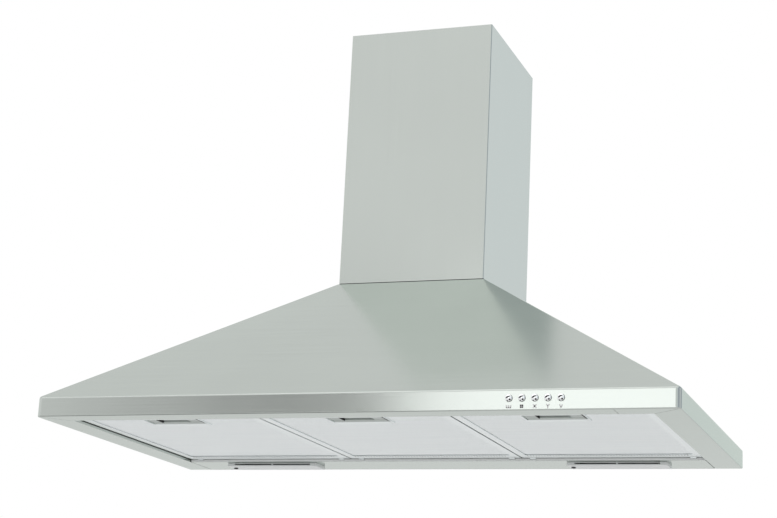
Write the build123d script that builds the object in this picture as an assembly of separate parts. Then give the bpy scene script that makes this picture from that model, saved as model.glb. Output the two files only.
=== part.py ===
from build123d import *
import math
import os

# Wall-mounted pyramid chimney hood. X runs to the right, Y to the wall and Z up.
# The wall is the plane y = 0, the underside of the flanges is z = 0 and x = 0 is the middle.

# Canopy
HOOD_WIDTH = 898.0
HOOD_DEPTH = 500.0
FASCIA_HEIGHT = 27.0
PYRAMID_HEIGHT = 214.0
SHEET = 1.0
BEND_RADIUS = 1.6
SHOULDER_RADIUS = 3.2
CORNER_RADIUS = 7.0
SIDE_FLANGE = 40.0
FRONT_FLANGE = 35.0
FLANGE_LIP_HEIGHT = 12.0
MITRE_GAP = 0.6
FLANGE_SEAM_X = 364.0
FLANGE_SEAM_GAP = 0.5
RIM_WIDTH = 12.0
RIM_REVEAL = 2.0
BACK_RETURN = 14.0

# Chimney covers
CHIMNEY_WIDTH = 224.0
CHIMNEY_DEPTH = 238.0
CHIMNEY_HEIGHT = 396.0
CHIMNEY_RETURN = 16.0
CHIMNEY_FOOT = 11.0
SEAL_HEIGHT = 1.6
SEAL_INSET = 0.4
CHIMNEY_SLIDE_GAP = 0.4
UPPER_COVER_LENGTH = 384.0
UPPER_COVER_TOP_DROP = 2.0
BRACKET_PLATE = 2.0
BRACKET_HEIGHT = 30.0
BRACKET_TOP_DROP = 8.0
BRACKET_CENTRE_HALF = 80.0
BRACKET_EAR_LENGTH = 28.0
BRACKET_HOLE_RADIUS = 3.0
BRACKET_HOLE_SPACING = 120.0

# Wall panel behind the canopy
PANEL_FIT = 1.0
WALL_HOLE_RADIUS = 4.0
WALL_HOLE_SPACING_X = 340.0
WALL_HOLE_SPACING_Z = 90.0
WALL_HOLE_MID_Z = 130.0

# Rear lamp strip
STRIP_DEPTH = 82.0
STRIP_LIP_HEIGHT = 15.0
STRIP_GAP = 1.0
STRIP_REAR_FLANGE = 15.0
STRIP_TAB_LENGTH = 14.0
STRIP_TAB_INSET = 14.0
LAMP_END_INSET = 174.0
LAMP_MID_Y = -36.0
LAMP_OPENING_LENGTH = 116.0
LAMP_OPENING_DEPTH = 32.0

# Lamp covers
COVER_LENGTH = 150.0
COVER_DEPTH = 40.0
COVER_MID_Y = -50.0
COVER_HEIGHT = 4.5
COVER_WALL = 1.6
COVER_CORNER = 1.5
COVER_CLEARANCE = 0.3
COVER_SLIT_LENGTH = 128.0
COVER_SLIT_HEIGHT = 2.0
COVER_SLIT_BRIDGE = 2.5
COVER_TAB_THICKNESS = 1.0
COVER_TAB_WIDTH = 20.0
COVER_TAB_REACH = 2.5
COVER_SWING = 60.0
COVER_SCREW_INSET = 6.0
COVER_SCREW_RADIUS = 1.6
COVER_SCREW_HEAD_RADIUS = 3.2
COVER_SCREW_HEAD = 1.6
COVER_SCREW_FIT = 0.1

# Lamp trays, holders and bulbs
TRAY_LENGTH = 164.0
TRAY_DEPTH = 66.0
TRAY_HEIGHT = 46.0
TRAY_WALL = 1.0
TRAY_FLANGE = 8.0
HOLDER_RADIUS = 14.0
HOLDER_LENGTH = 36.0
HOLDER_BASE_WALL = 4.0
BULB_CAP_RADIUS = 7.0
BULB_CAP_LENGTH = 25.0
BULB_RADIUS = 17.0
BULB_LENGTH = 72.0
BULB_NECK_LENGTH = 14.0
BULB_FIT = 0.1

# Grease filters
FILTER_COUNT = 3
FILTER_SIDE_GAP = 3.0
FILTER_GAP = 2.5
FILTER_FRONT_GAP = 1.0
FILTER_REAR_GAP = 3.0
FILTER_RECESS = 4.0
FILTER_THICKNESS = 10.0
FILTER_BORDER = 11.0
FILTER_FRONT_BORDER = 20.0
FILTER_REAR_BORDER = 24.0
FILTER_SKIN = 1.0
MESH_LAYERS = 3
MESH_LAYER = 0.8
HINGE_TAB_WIDTH = 9.0
HINGE_TAB_THICKNESS = 0.8
HINGE_TAB_END_INSET = 15.0
HINGE_TAB_REACH = 2.5
HINGE_SLOT_HALF = 2.4
HINGE_SLOT_SIDE_GAP = 0.3

# Filter latches
LATCH_SHIFT = -2.0
LATCH_WIDTH = 79.0
LATCH_LENGTH = 42.0
LATCH_THICKNESS = 1.5
LATCH_TRAVEL = 6.0
LATCH_GAP = 0.4
LATCH_END_GAP = 3.2
LATCH_LEDGE = 2.5
LATCH_LEDGE_CHAMFER = 0.8
LATCH_POCKET_WALL = 1.0
LATCH_SLOT_LENGTH = 44.0
LATCH_SLOT_WIDTH = 24.0
LATCH_SLOT_INSET = 4.0
LATCH_BOLT_WIDTH = 20.0
LATCH_BOLT_GAP = 0.4
LATCH_BOLT_SIDE_GAP = 0.6

# Deck, collar and flaps
DECK_MARGIN = 2.5
COLLAR_RADIUS = 75.0
COLLAR_WALL = 2.5
COLLAR_HEIGHT = 62.0
COLLAR_FLANGE_RADIUS = 90.0
COLLAR_FLANGE = 2.0
COLLAR_SCREW_RADIUS = 83.0
COLLAR_SCREW_COUNT = 4
FLAP_PIN_RADIUS = 2.0
FLAP_PIN_FIT = 0.05
FLAP_PIN_HEIGHT = 34.0
FLAP_RADIUS = 70.5
FLAP_THICKNESS = 1.2
FLAP_BARREL_WALL = 1.5
FLAP_BARREL_GAP = 0.5
FLAP_BARREL_END = 60.0
FLAP_BARREL_SPLIT = 20.0
GLAND_X = 84.0
GLAND_Y = -32.0
GLAND_RADIUS = 8.0
GLAND_BORE_RADIUS = 4.5
GLAND_FLANGE_RADIUS = 11.5
GLAND_FLANGE = 3.0
GLAND_NUT = 5.0
GLAND_HOLE_FIT = 0.1

# Blower scroll
SCROLL_RADIUS = 80.0
SCROLL_STEP = 8.0
SCROLL_CENTRE_Y = -180.0
SCROLL_FLOOR_Z = 30.0
SCROLL_WIDTH = 104.0
SCROLL_WALL = 2.0
OUTLET_DEPTH = 76.0
OUTLET_FLANGE = 12.0
OUTLET_FLANGE_THICKNESS = 3.0
INLET_RADIUS = 54.0
INLET_PLATE = 2.0
SCROLL_BOSS_RADIUS = 5.0
SCROLL_BOSS_OFFSET = 3.0
GUARD_THICKNESS = 1.5
GUARD_BORDER = 9.0
GUARD_HUB_RADIUS = 12.0
GUARD_RING_RADIUS = 33.0
GUARD_BAR = 4.0
GUARD_SPOKES = 6

# Impeller and motor
IMPELLER_RADIUS = 70.0
IMPELLER_SIDE_GAP = 5.0
IMPELLER_DISC = 2.0
IMPELLER_RING = 3.0
IMPELLER_INLET_GAP = 8.0
BLADE_COUNT = 32
BLADE_CHORD = 15.0
BLADE_THICKNESS = 1.2
BLADE_ANGLE = 35.0
HUB_RADIUS = 12.0
HUB_LENGTH = 26.0
SHAFT_RADIUS = 4.0
SHAFT_FIT = 0.05
MOTOR_RADIUS = 44.0
MOTOR_LENGTH = 58.0
MOTOR_WALL = 2.0
MOTOR_END_WALL = 3.0
MOTOR_FLANGE_RADIUS = 58.0
MOTOR_FLANGE = 3.0
BEARING_RADIUS = 11.0
BEARING_LENGTH = 7.0
BEARING_BOSS_WALL = 2.5
STATOR_INNER_RADIUS = 30.0
STATOR_LENGTH = 34.0
STATOR_FIT = 0.1
ROTOR_GAP = 0.6
SHAFT_HOLE_GAP = 2.0
MOTOR_SCREW_RADIUS = 51.0
MOTOR_SCREW_COUNT = 3

# Electrics
CAPACITOR_RADIUS = 12.0
CAPACITOR_LENGTH = 52.0
CAPACITOR_X = 250.0
TERMINAL_BOX_X = 155.0
TERMINAL_BOX_Z = 92.0
TERMINAL_BOX_WIDTH = 80.0
TERMINAL_BOX_HEIGHT = 60.0
TERMINAL_BOX_DEPTH = 40.0
TERMINAL_BOX_WALL = 2.0
TERMINAL_LID = 2.0
TERMINAL_BLOCK_LENGTH = 52.0
TERMINAL_BLOCK_HEIGHT = 20.0
TERMINAL_BLOCK_DEPTH = 16.0
LEAD_RADIUS = 2.5
LEAD_FIT = 0.2
LEAD_BEND = 14.0

# Push buttons and their switch
BUTTON_COUNT = 5
BUTTON_FIRST_INSET = 219.0
BUTTON_PITCH = 17.0
BUTTON_Z = 16.0
BUTTON_RADIUS = 4.6
BUTTON_PROUD = 3.4
BUTTON_DOME = 1.3
BUTTON_EDGE = 0.4
BUTTON_GAP = 0.3
BUTTON_TRAVEL = 3.0
BUTTON_BACK_REACH = 2.0
BUTTON_STEM_RADIUS = 2.0
BUTTON_STEM_LENGTH = 12.0
SWITCH_MARGIN = 14.0
SWITCH_DEPTH = 18.0
SWITCH_HEIGHT = 19.0
SWITCH_FRONT_GAP = 7.0
SWITCH_STEM_GAP = 0.3
SWITCH_STEM_SPARE = 1.0
SWITCH_SHELF = 1.0

# Fasteners
SCREW_RADIUS = 2.0
SCREW_HEAD_RADIUS = 3.8
SCREW_HEAD = 2.2
SCREW_FIT = 0.1
SCREW_TIP = 4.0
CHIMNEY_SCREW_END_INSET = 40.0
CHIMNEY_SCREW_HALF_X = 60.0

# Places worked out from the sizes above
HALF_WIDTH = HOOD_WIDTH / 2
TOP_Z = FASCIA_HEIGHT + PYRAMID_HEIGHT
TOP_HALF = CHIMNEY_WIDTH / 2 + RIM_REVEAL
TOP_FRONT = -(CHIMNEY_DEPTH + RIM_REVEAL)
SIDE_RUN = HALF_WIDTH - TOP_HALF
FRONT_RUN = HOOD_DEPTH + TOP_FRONT
OPEN_HALF = HALF_WIDTH - SIDE_FLANGE
OPEN_FRONT = -(HOOD_DEPTH - FRONT_FLANGE)
WALL_PANEL_FRONT = -2 * SHEET
DECK_TOP = TOP_Z - SHEET
DECK_BOTTOM = DECK_TOP - SHEET
CHIMNEY_BASE = TOP_Z + SEAL_HEIGHT
CHIMNEY_TOP = TOP_Z + CHIMNEY_HEIGHT
CHIMNEY_MID_Y = -CHIMNEY_DEPTH / 2
FILTER_ZONE_HALF = OPEN_HALF - FILTER_SIDE_GAP
FILTER_WIDTH = (2 * FILTER_ZONE_HALF - (FILTER_COUNT - 1) * FILTER_GAP) / FILTER_COUNT
FILTER_PITCH = FILTER_WIDTH + FILTER_GAP
FILTER_FRONT = OPEN_FRONT + FILTER_FRONT_GAP
FILTER_REAR = -STRIP_DEPTH - FILTER_REAR_GAP
FILTER_TOP = FILTER_RECESS + FILTER_THICKNESS
HINGE_Y = -STRIP_DEPTH + SHEET / 2
HINGE_Z = FILTER_RECESS + HINGE_TAB_THICKNESS / 2
SCROLL_CENTRE_Z = SCROLL_FLOOR_Z + SCROLL_RADIUS + SCROLL_STEP
SHAFT_Y = SCROLL_CENTRE_Y + SCROLL_STEP / 2
SHAFT_Z = SCROLL_CENTRE_Z + SCROLL_STEP / 2
SCROLL_LEFT = -SCROLL_WIDTH / 2
SCROLL_RIGHT = SCROLL_WIDTH / 2
SCROLL_REAR = SCROLL_CENTRE_Y + SCROLL_RADIUS + 3 * SCROLL_STEP
OUTLET_FRONT = SCROLL_REAR - OUTLET_DEPTH
MOTOR_END = SCROLL_RIGHT + MOTOR_LENGTH
FLAP_PIN_Z = DECK_TOP + FLAP_PIN_HEIGHT
LATCH_FLOOR_Z = FILTER_RECESS + FILTER_SKIN + LATCH_GAP
LATCH_POCKET_FRONT = FILTER_FRONT + FILTER_FRONT_BORDER
LATCH_POCKET_LENGTH = LATCH_LENGTH + LATCH_TRAVEL + 2 * LATCH_GAP
LATCH_POCKET_ROOF = FILTER_TOP
BUTTON_XS = [HALF_WIDTH - BUTTON_FIRST_INSET + i * BUTTON_PITCH for i in range(BUTTON_COUNT)]
LAMP_XS = {"left": LAMP_END_INSET - HALF_WIDTH, "right": HALF_WIDTH - LAMP_END_INSET}
FILTER_XS = [(i - (FILTER_COUNT - 1) / 2) * FILTER_PITCH for i in range(FILTER_COUNT)]
TRAY_TOP = SHEET + TRAY_HEIGHT
LEAD_Y = WALL_PANEL_FRONT - LEAD_RADIUS - LEAD_FIT


def block(x0, x1, y0, y1, z0, z1):
    """Box between two corners."""
    middle = Pos((x0 + x1) / 2, (y0 + y1) / 2, (z0 + z1) / 2)
    return middle * Box(x1 - x0, y1 - y0, z1 - z0)


def rod_x(radius, x0, x1, y, z):
    return Pos((x0 + x1) / 2, y, z) * Rot(0, 90, 0) * Cylinder(radius, x1 - x0)


def rod_y(radius, x, y0, y1, z):
    return Pos(x, (y0 + y1) / 2, z) * Rot(90, 0, 0) * Cylinder(radius, y1 - y0)


def rod_z(radius, x, y, z0, z1):
    return Pos(x, y, (z0 + z1) / 2) * Cylinder(radius, z1 - z0)


def tube_x(outer, inner, x0, x1, y, z):
    return rod_x(outer, x0, x1, y, z) - rod_x(inner, x0, x1, y, z)


def canopy_form(half, front, back, low, band, top_half, top_front, top):
    """Closed pyramid on a straight band, upright at the back."""
    rings = [(half, front, low), (half, front, band), (top_half, top_front, top)]
    base, bend, crown = [
        [(-h, f, z), (h, f, z), (h, back, z), (-h, back, z)] for h, f, z in rings
    ]
    outlines = [base, crown, [base[2], base[3], bend[3], crown[3], crown[2], bend[2]]]
    for lower, upper in ((base, bend), (bend, crown)):
        for i, j in ((0, 1), (1, 2), (3, 0)):
            outlines.append([lower[i], lower[j], upper[j], upper[i]])
    faces = [Face(Wire.make_polygon([Vector(*p) for p in outline])) for outline in outlines]
    return Solid(Shell(faces))


def is_upright(edge):
    return abs(edge.tangent_at(0).Z) > math.cos(math.radians(1))


def front_corners(form):
    """Upright edges at the two ends of the fascia."""
    return [e for e in form.edges() if is_upright(e) and e.center().Y < -HOOD_DEPTH / 2]


def front_folds(form, low, high):
    """Folds in front of the wall whose middles lie between two heights."""
    return [
        e for e in form.edges()
        if e.center().Y < -SHEET and low < e.center().Z < high and not is_upright(e)
    ]


def inner_canopy_form():
    """The room inside the canopy, one sheet inside its outer faces."""
    side_skin = SHEET * math.hypot(SIDE_RUN, PYRAMID_HEIGHT) / PYRAMID_HEIGHT
    front_skin = SHEET * math.hypot(FRONT_RUN, PYRAMID_HEIGHT) / PYRAMID_HEIGHT
    top_half = TOP_HALF + SHEET * SIDE_RUN / PYRAMID_HEIGHT - side_skin
    top_front = TOP_FRONT - SHEET * FRONT_RUN / PYRAMID_HEIGHT + front_skin
    room = canopy_form(
        HALF_WIDTH - SHEET, -HOOD_DEPTH + SHEET, -SHEET, SHEET,
        FASCIA_HEIGHT - SHEET / 2, top_half, top_front, DECK_TOP,
    )
    return fillet(front_corners(room), CORNER_RADIUS - SHEET)


def wall_outline(inset, low, high, y0, y1):
    """Plate along the wall that follows the canopy's sides, set in from them."""
    def half_at(z):
        return HALF_WIDTH - max(0.0, z - FASCIA_HEIGHT) * SIDE_RUN / PYRAMID_HEIGHT - inset
    corners = [(half_at(z), z) for z in (low, FASCIA_HEIGHT, high)]
    mirrored = [(-x, z) for x, z in reversed(corners)]
    outline = [Vector(x, y1, z) for x, z in corners + mirrored]
    return extrude(Face(Wire.make_polygon(outline)), y1 - y0, dir=(0, -1, 0))


def chimney_screw_places():
    """Points in the rim where deck, canopy and chimney foot are screwed together."""
    side_x = CHIMNEY_WIDTH / 2 - CHIMNEY_FOOT / 2
    front_y = -CHIMNEY_DEPTH + CHIMNEY_FOOT / 2
    ys = (-CHIMNEY_SCREW_END_INSET, CHIMNEY_MID_Y, CHIMNEY_SCREW_END_INSET - CHIMNEY_DEPTH)
    sides = [(s * side_x, y) for s in (-1, 1) for y in ys]
    return sides + [(s * CHIMNEY_SCREW_HALF_X, front_y) for s in (-1, 1)]


def collar_screw_places():
    turn = 360 / COLLAR_SCREW_COUNT
    angles = [math.radians(turn * (i + 0.5)) for i in range(COLLAR_SCREW_COUNT)]
    return [
        (COLLAR_SCREW_RADIUS * math.cos(a), CHIMNEY_MID_Y + COLLAR_SCREW_RADIUS * math.sin(a))
        for a in angles
    ]


def strip_screw_places():
    """Points where the strip's end tabs are screwed to the side flanges from inside."""
    x = OPEN_HALF + (STRIP_TAB_LENGTH + SHEET) / 2
    return [(s * x, y) for s in (-1, 1) for y in (-STRIP_DEPTH / 3, -2 * STRIP_DEPTH / 3)]


def canopy_shell():
    outer = canopy_form(
        HALF_WIDTH, -HOOD_DEPTH, 0, 0, FASCIA_HEIGHT, TOP_HALF, TOP_FRONT, TOP_Z,
    )
    outer = fillet(front_corners(outer), CORNER_RADIUS)
    outer = fillet(front_folds(outer, FASCIA_HEIGHT / 2, TOP_Z - SHEET), SHOULDER_RADIUS)
    shell = fillet(front_folds(outer, -SHEET, FASCIA_HEIGHT / 2), BEND_RADIUS) - inner_canopy_form()
    shell -= block(-OPEN_HALF, OPEN_HALF, OPEN_FRONT, -SHEET, 0, SHEET)
    shell -= wall_outline(BACK_RETURN, BACK_RETURN, DECK_TOP, -SHEET, 0)
    shell -= block(-OPEN_HALF, OPEN_HALF, -SHEET, 0, 0, BACK_RETURN)
    shell -= block(
        RIM_WIDTH - TOP_HALF, TOP_HALF - RIM_WIDTH, TOP_FRONT + RIM_WIDTH, -RIM_WIDTH, DECK_TOP, TOP_Z,
    )
    lip_half = OPEN_HALF + SHEET
    shell += block(-lip_half, lip_half, OPEN_FRONT - SHEET, OPEN_FRONT, 0, FLANGE_LIP_HEIGHT)
    for side in (-1, 1):
        edges = sorted((side * OPEN_HALF, side * (OPEN_HALF + SHEET)))
        shell += block(*edges, OPEN_FRONT, -STRIP_DEPTH, 0, FLANGE_LIP_HEIGHT)
        mitre_length = math.hypot(SIDE_FLANGE, FRONT_FLANGE) - 4 * BEND_RADIUS
        mitre = Box(mitre_length, MITRE_GAP, SHEET)
        turn = math.degrees(math.atan2(-FRONT_FLANGE, SIDE_FLANGE))
        middle = Pos(
            side * (OPEN_HALF + SIDE_FLANGE / 2 - BEND_RADIUS),
            OPEN_FRONT - FRONT_FLANGE / 2 + BEND_RADIUS, SHEET / 2,
        )
        shell -= middle * Rot(0, 0, side * turn) * mitre
    shell -= block(
        FLANGE_SEAM_X, FLANGE_SEAM_X + FLANGE_SEAM_GAP, 2 * BEND_RADIUS - HOOD_DEPTH, OPEN_FRONT - SHEET,
        0, SHEET,
    )
    for x in BUTTON_XS:
        shell -= rod_y(BUTTON_RADIUS + BUTTON_GAP, x, -HOOD_DEPTH, SHEET - HOOD_DEPTH, BUTTON_Z)
    for x, y in chimney_screw_places():
        shell -= rod_z(SCREW_RADIUS + SCREW_FIT, x, y, DECK_TOP, TOP_Z)
    return shell


def back_panel():
    """Wall panel with a hem folded back along its lower edge, between the canopy's sides."""
    top = DECK_BOTTOM - PANEL_FIT
    panel = wall_outline(SHEET + 2 * PANEL_FIT, SHEET + PANEL_FIT, top, WALL_PANEL_FRONT, -SHEET)
    hem_half = OPEN_HALF - PANEL_FIT
    panel += block(-hem_half, hem_half, -SHEET, 0, 0, BACK_RETURN)
    for sx in (-0.5, 0.5):
        for sz in (-0.5, 0.5):
            z = WALL_HOLE_MID_Z + sz * WALL_HOLE_SPACING_Z
            x = sx * WALL_HOLE_SPACING_X
            panel -= rod_y(WALL_HOLE_RADIUS, x, WALL_PANEL_FRONT, -SHEET, z)
    return panel


def lamp_panel():
    half = OPEN_HALF - STRIP_GAP
    rear = WALL_PANEL_FRONT
    strip = block(-half, half, -STRIP_DEPTH, rear, 0, SHEET)
    strip += block(-half, half, -STRIP_DEPTH, SHEET - STRIP_DEPTH, 0, STRIP_LIP_HEIGHT)
    strip += block(-half, half, rear - SHEET, rear, 0, STRIP_REAR_FLANGE)
    for side in (-1, 1):
        ends = sorted((side * (half - STRIP_TAB_LENGTH), side * (OPEN_HALF + STRIP_TAB_LENGTH)))
        strip += block(
            *ends, STRIP_TAB_INSET - STRIP_DEPTH, rear - STRIP_TAB_INSET, SHEET, 2 * SHEET,
        )
    for x, y in strip_screw_places():
        strip -= rod_z(SCREW_RADIUS + SCREW_FIT, x, y, SHEET, 2 * SHEET)
    for x in LAMP_XS.values():
        strip -= block(
            x - LAMP_OPENING_LENGTH / 2, x + LAMP_OPENING_LENGTH / 2,
            COVER_MID_Y - LAMP_OPENING_DEPTH / 2, COVER_MID_Y + LAMP_OPENING_DEPTH / 2, 0, SHEET,
        )
        hinge_x = x + COVER_LENGTH / 2
        tab_half = COVER_TAB_WIDTH / 2 + COVER_CLEARANCE
        strip -= block(
            hinge_x - cover_slot_room(), hinge_x + COVER_CLEARANCE,
            COVER_MID_Y - tab_half, COVER_MID_Y + tab_half, 0, SHEET,
        )
    for x in FILTER_XS:
        for side in (-1, 1):
            tab_x = x + side * hinge_tab_offset()
            tab_half = HINGE_TAB_WIDTH / 2 + HINGE_SLOT_SIDE_GAP
            strip -= block(
                tab_x - tab_half, tab_x + tab_half, -STRIP_DEPTH, SHEET - STRIP_DEPTH,
                HINGE_Z - HINGE_SLOT_HALF, HINGE_Z + HINGE_SLOT_HALF,
            )
    return strip


def hinge_tab_offset():
    """From the middle of a filter to the middle of a hinge tab."""
    return FILTER_WIDTH / 2 - HINGE_TAB_END_INSET


def cover_slot_room():
    """Slot length that lets the tab lean over as its cover swings down."""
    swing = math.radians(COVER_SWING)
    lean = (SHEET + COVER_CLEARANCE) * math.tan(swing) + COVER_TAB_THICKNESS / math.cos(swing)
    return lean + COVER_CLEARANCE


def lamp_cover(lamp_x):
    """Frosted dish under the strip with a slit in its front wall, hung by a tab at its right end."""
    top = -COVER_CLEARANCE
    low = top - COVER_HEIGHT
    ends = (lamp_x - COVER_LENGTH / 2, lamp_x + COVER_LENGTH / 2)
    rows = (COVER_MID_Y - COVER_DEPTH / 2, COVER_MID_Y + COVER_DEPTH / 2)
    dish = block(*ends, *rows, low, top)
    dish = fillet(dish.edges().filter_by(Axis.Z), COVER_CORNER)
    screw_x = ends[0] + COVER_SCREW_INSET
    post = 2 * COVER_SCREW_INSET
    dish -= block(
        ends[0] + post, ends[1] - COVER_WALL, rows[0] + COVER_WALL, rows[1] - COVER_WALL,
        low + COVER_WALL, top,
    )
    floor = low + COVER_WALL
    slit_half = (COVER_SLIT_LENGTH - COVER_SLIT_BRIDGE) / 2
    for start in (ends[0] + post, ends[0] + post + slit_half + COVER_SLIT_BRIDGE):
        dish -= block(
            start, start + slit_half, rows[0], rows[0] + COVER_WALL, floor, floor + COVER_SLIT_HEIGHT,
        )
    tab = block(
        ends[1] - COVER_TAB_THICKNESS, ends[1], COVER_MID_Y - COVER_TAB_WIDTH / 2,
        COVER_MID_Y + COVER_TAB_WIDTH / 2, top, SHEET + COVER_TAB_REACH,
    )
    dish += tab
    return dish - rod_z(COVER_SCREW_RADIUS + COVER_SCREW_FIT, screw_x, COVER_MID_Y, low, top)


def cover_screw(lamp_x):
    """Captive screw of a lamp cover, backed out of the strip."""
    x = lamp_x - COVER_LENGTH / 2 + COVER_SCREW_INSET
    low = -COVER_CLEARANCE - COVER_HEIGHT
    head = rod_z(COVER_SCREW_HEAD_RADIUS, x, COVER_MID_Y, low - COVER_SCREW_HEAD, low)
    return head + rod_z(COVER_SCREW_RADIUS, x, COVER_MID_Y, low, -COVER_CLEARANCE)


def lamp_tray(lamp_x):
    half = TRAY_LENGTH / 2
    rows = (LAMP_MID_Y - TRAY_DEPTH / 2, LAMP_MID_Y + TRAY_DEPTH / 2)
    tray = block(lamp_x - half, lamp_x + half, *rows, SHEET, TRAY_TOP)
    tray += block(
        lamp_x - half - TRAY_FLANGE, lamp_x + half + TRAY_FLANGE, *rows, SHEET, SHEET + TRAY_WALL,
    )
    tray -= block(
        lamp_x - half + TRAY_WALL, lamp_x + half - TRAY_WALL,
        rows[0] + TRAY_WALL, rows[1] - TRAY_WALL, SHEET, TRAY_TOP - TRAY_WALL,
    )
    return tray


def bulb_axis_z():
    return (SHEET + TRAY_TOP) / 2


def lampholder(lamp_x):
    start = lamp_x - TRAY_LENGTH / 2 + TRAY_WALL
    holder = rod_x(HOLDER_RADIUS, start, start + HOLDER_LENGTH, LAMP_MID_Y, bulb_axis_z())
    return holder - rod_x(
        BULB_CAP_RADIUS + BULB_FIT, start + HOLDER_BASE_WALL, start + HOLDER_LENGTH,
        LAMP_MID_Y, bulb_axis_z(),
    )


def bulb(lamp_x):
    """Candle lamp turned about its own axis, its cap seated in the holder."""
    start = lamp_x - TRAY_LENGTH / 2 + TRAY_WALL + HOLDER_BASE_WALL
    shoulder = start + HOLDER_LENGTH - HOLDER_BASE_WALL
    belly = shoulder + BULB_NECK_LENGTH
    tip = shoulder + BULB_LENGTH
    with BuildSketch(Plane.XY) as half_section:
        with BuildLine():
            Polyline(
                (tip, 0), (start, 0), (start, BULB_CAP_RADIUS), (shoulder, BULB_CAP_RADIUS),
                (belly, BULB_RADIUS),
            )
            EllipticalCenterArc((belly, 0), tip - belly, BULB_RADIUS, 0, arc_size=90)
        make_face()
    lamp = revolve(half_section.sketch, Axis.X, 360)
    return Pos(0, LAMP_MID_Y, bulb_axis_z()) * lamp


def deck_plate():
    half = TOP_HALF - DECK_MARGIN
    plate = block(-half, half, TOP_FRONT + DECK_MARGIN, WALL_PANEL_FRONT - SHEET, DECK_BOTTOM, DECK_TOP)
    plate -= outlet_block(DECK_BOTTOM, DECK_TOP)
    plate -= rod_z(GLAND_RADIUS + GLAND_HOLE_FIT, GLAND_X, GLAND_Y, DECK_BOTTOM, DECK_TOP)
    for x, y in chimney_screw_places() + collar_screw_places() + outlet_screw_places():
        plate -= rod_z(SCREW_RADIUS + SCREW_FIT, x, y, DECK_BOTTOM, DECK_TOP)
    return plate


def cover_tube(half, front, back, low, high, lip):
    """Chimney cover: front and two sides of folded sheet with returns along the wall."""
    tube = block(-half, half, front, back, low, high)
    corners = [e for e in tube.edges().filter_by(Axis.Z) if e.center().Y < back - SHEET]
    tube = fillet(corners, BEND_RADIUS)
    tube -= block(SHEET - half, half - SHEET, front + SHEET, back - SHEET, low, high)
    return tube - block(SHEET + lip - half, half - SHEET - lip, back - SHEET, back, low, high)


def chimney_lower():
    half = CHIMNEY_WIDTH / 2
    base = CHIMNEY_BASE
    tube = cover_tube(half, -CHIMNEY_DEPTH, 0, base, CHIMNEY_TOP, CHIMNEY_RETURN)
    tube += foot_ring(SHEET, base, base + SHEET)
    for x, y in chimney_screw_places():
        tube -= rod_z(SCREW_RADIUS + SCREW_FIT, x, y, base, base + SHEET)
    return tube


def foot_ring(inset, low, high):
    """Flat strip round the front and sides, under or along the foot of the chimney."""
    half = CHIMNEY_WIDTH / 2
    ring = block(inset - half, half - inset, inset - CHIMNEY_DEPTH, -SHEET, low, high)
    return ring - block(
        CHIMNEY_FOOT - half, half - CHIMNEY_FOOT, CHIMNEY_FOOT - CHIMNEY_DEPTH, 0, low, high,
    )


def chimney_seal():
    """Dark strip between the canopy's rim and the foot of the chimney."""
    seal = foot_ring(SEAL_INSET, TOP_Z, CHIMNEY_BASE)
    for x, y in chimney_screw_places():
        seal -= rod_z(SCREW_RADIUS + SCREW_FIT, x, y, TOP_Z, CHIMNEY_BASE)
    return seal


def upper_half():
    return CHIMNEY_WIDTH / 2 - SHEET - CHIMNEY_SLIDE_GAP


def upper_back():
    return -SHEET - CHIMNEY_SLIDE_GAP


def bracket_screw_places():
    y = upper_back() - SHEET - BRACKET_PLATE - BRACKET_EAR_LENGTH / 2
    z = CHIMNEY_TOP - BRACKET_TOP_DROP - BRACKET_HEIGHT / 2
    return [(side, y, z) for side in (-1, 1)]


def chimney_upper():
    top = CHIMNEY_TOP - UPPER_COVER_TOP_DROP
    front = -CHIMNEY_DEPTH + SHEET + CHIMNEY_SLIDE_GAP
    tube = cover_tube(
        upper_half(), front, upper_back(), top - UPPER_COVER_LENGTH, top, CHIMNEY_RETURN,
    )
    for side, y, z in bracket_screw_places():
        walls = sorted((side * upper_half(), side * (upper_half() - SHEET)))
        tube -= rod_x(SCREW_RADIUS + SCREW_FIT, *walls, y, z)
    return tube


def upper_bracket():
    """Wall bracket that carries the upper cover, joggled round its returns."""
    low = CHIMNEY_TOP - BRACKET_TOP_DROP - BRACKET_HEIGHT
    high = low + BRACKET_HEIGHT
    inner = upper_half() - SHEET
    ear_back = upper_back() - SHEET
    ear_front = ear_back - BRACKET_PLATE
    centre = BRACKET_CENTRE_HALF
    bracket = block(-centre, centre, -BRACKET_PLATE, 0, low, high)
    for side in (-1, 1):
        step = sorted((side * centre, side * (centre - BRACKET_PLATE)))
        bracket += block(*step, ear_front, 0, low, high)
        ear = sorted((side * (centre - BRACKET_PLATE), side * inner))
        bracket += block(*ear, ear_front, ear_back, low, high)
        tab = sorted((side * (inner - BRACKET_PLATE), side * inner))
        bracket += block(*tab, ear_front - BRACKET_EAR_LENGTH, ear_back, low, high)
        x = side * BRACKET_HOLE_SPACING / 2
        bracket -= rod_y(BRACKET_HOLE_RADIUS, x, -BRACKET_PLATE, 0, (low + high) / 2)
    for side, y, z in bracket_screw_places():
        walls = sorted((side * inner, side * (inner - BRACKET_PLATE)))
        bracket -= rod_x(SCREW_RADIUS + SCREW_FIT, *walls, y, z)
    return bracket


def bracket_screws():
    inner = upper_half() - SHEET - BRACKET_PLATE
    screws = []
    for side, y, z in bracket_screw_places():
        shank = sorted((side * inner, side * upper_half()))
        head = sorted((side * inner, side * (inner - SCREW_HEAD)))
        screws.append(rod_x(SCREW_RADIUS, *shank, y, z) + rod_x(SCREW_HEAD_RADIUS, *head, y, z))
    return screws


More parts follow.
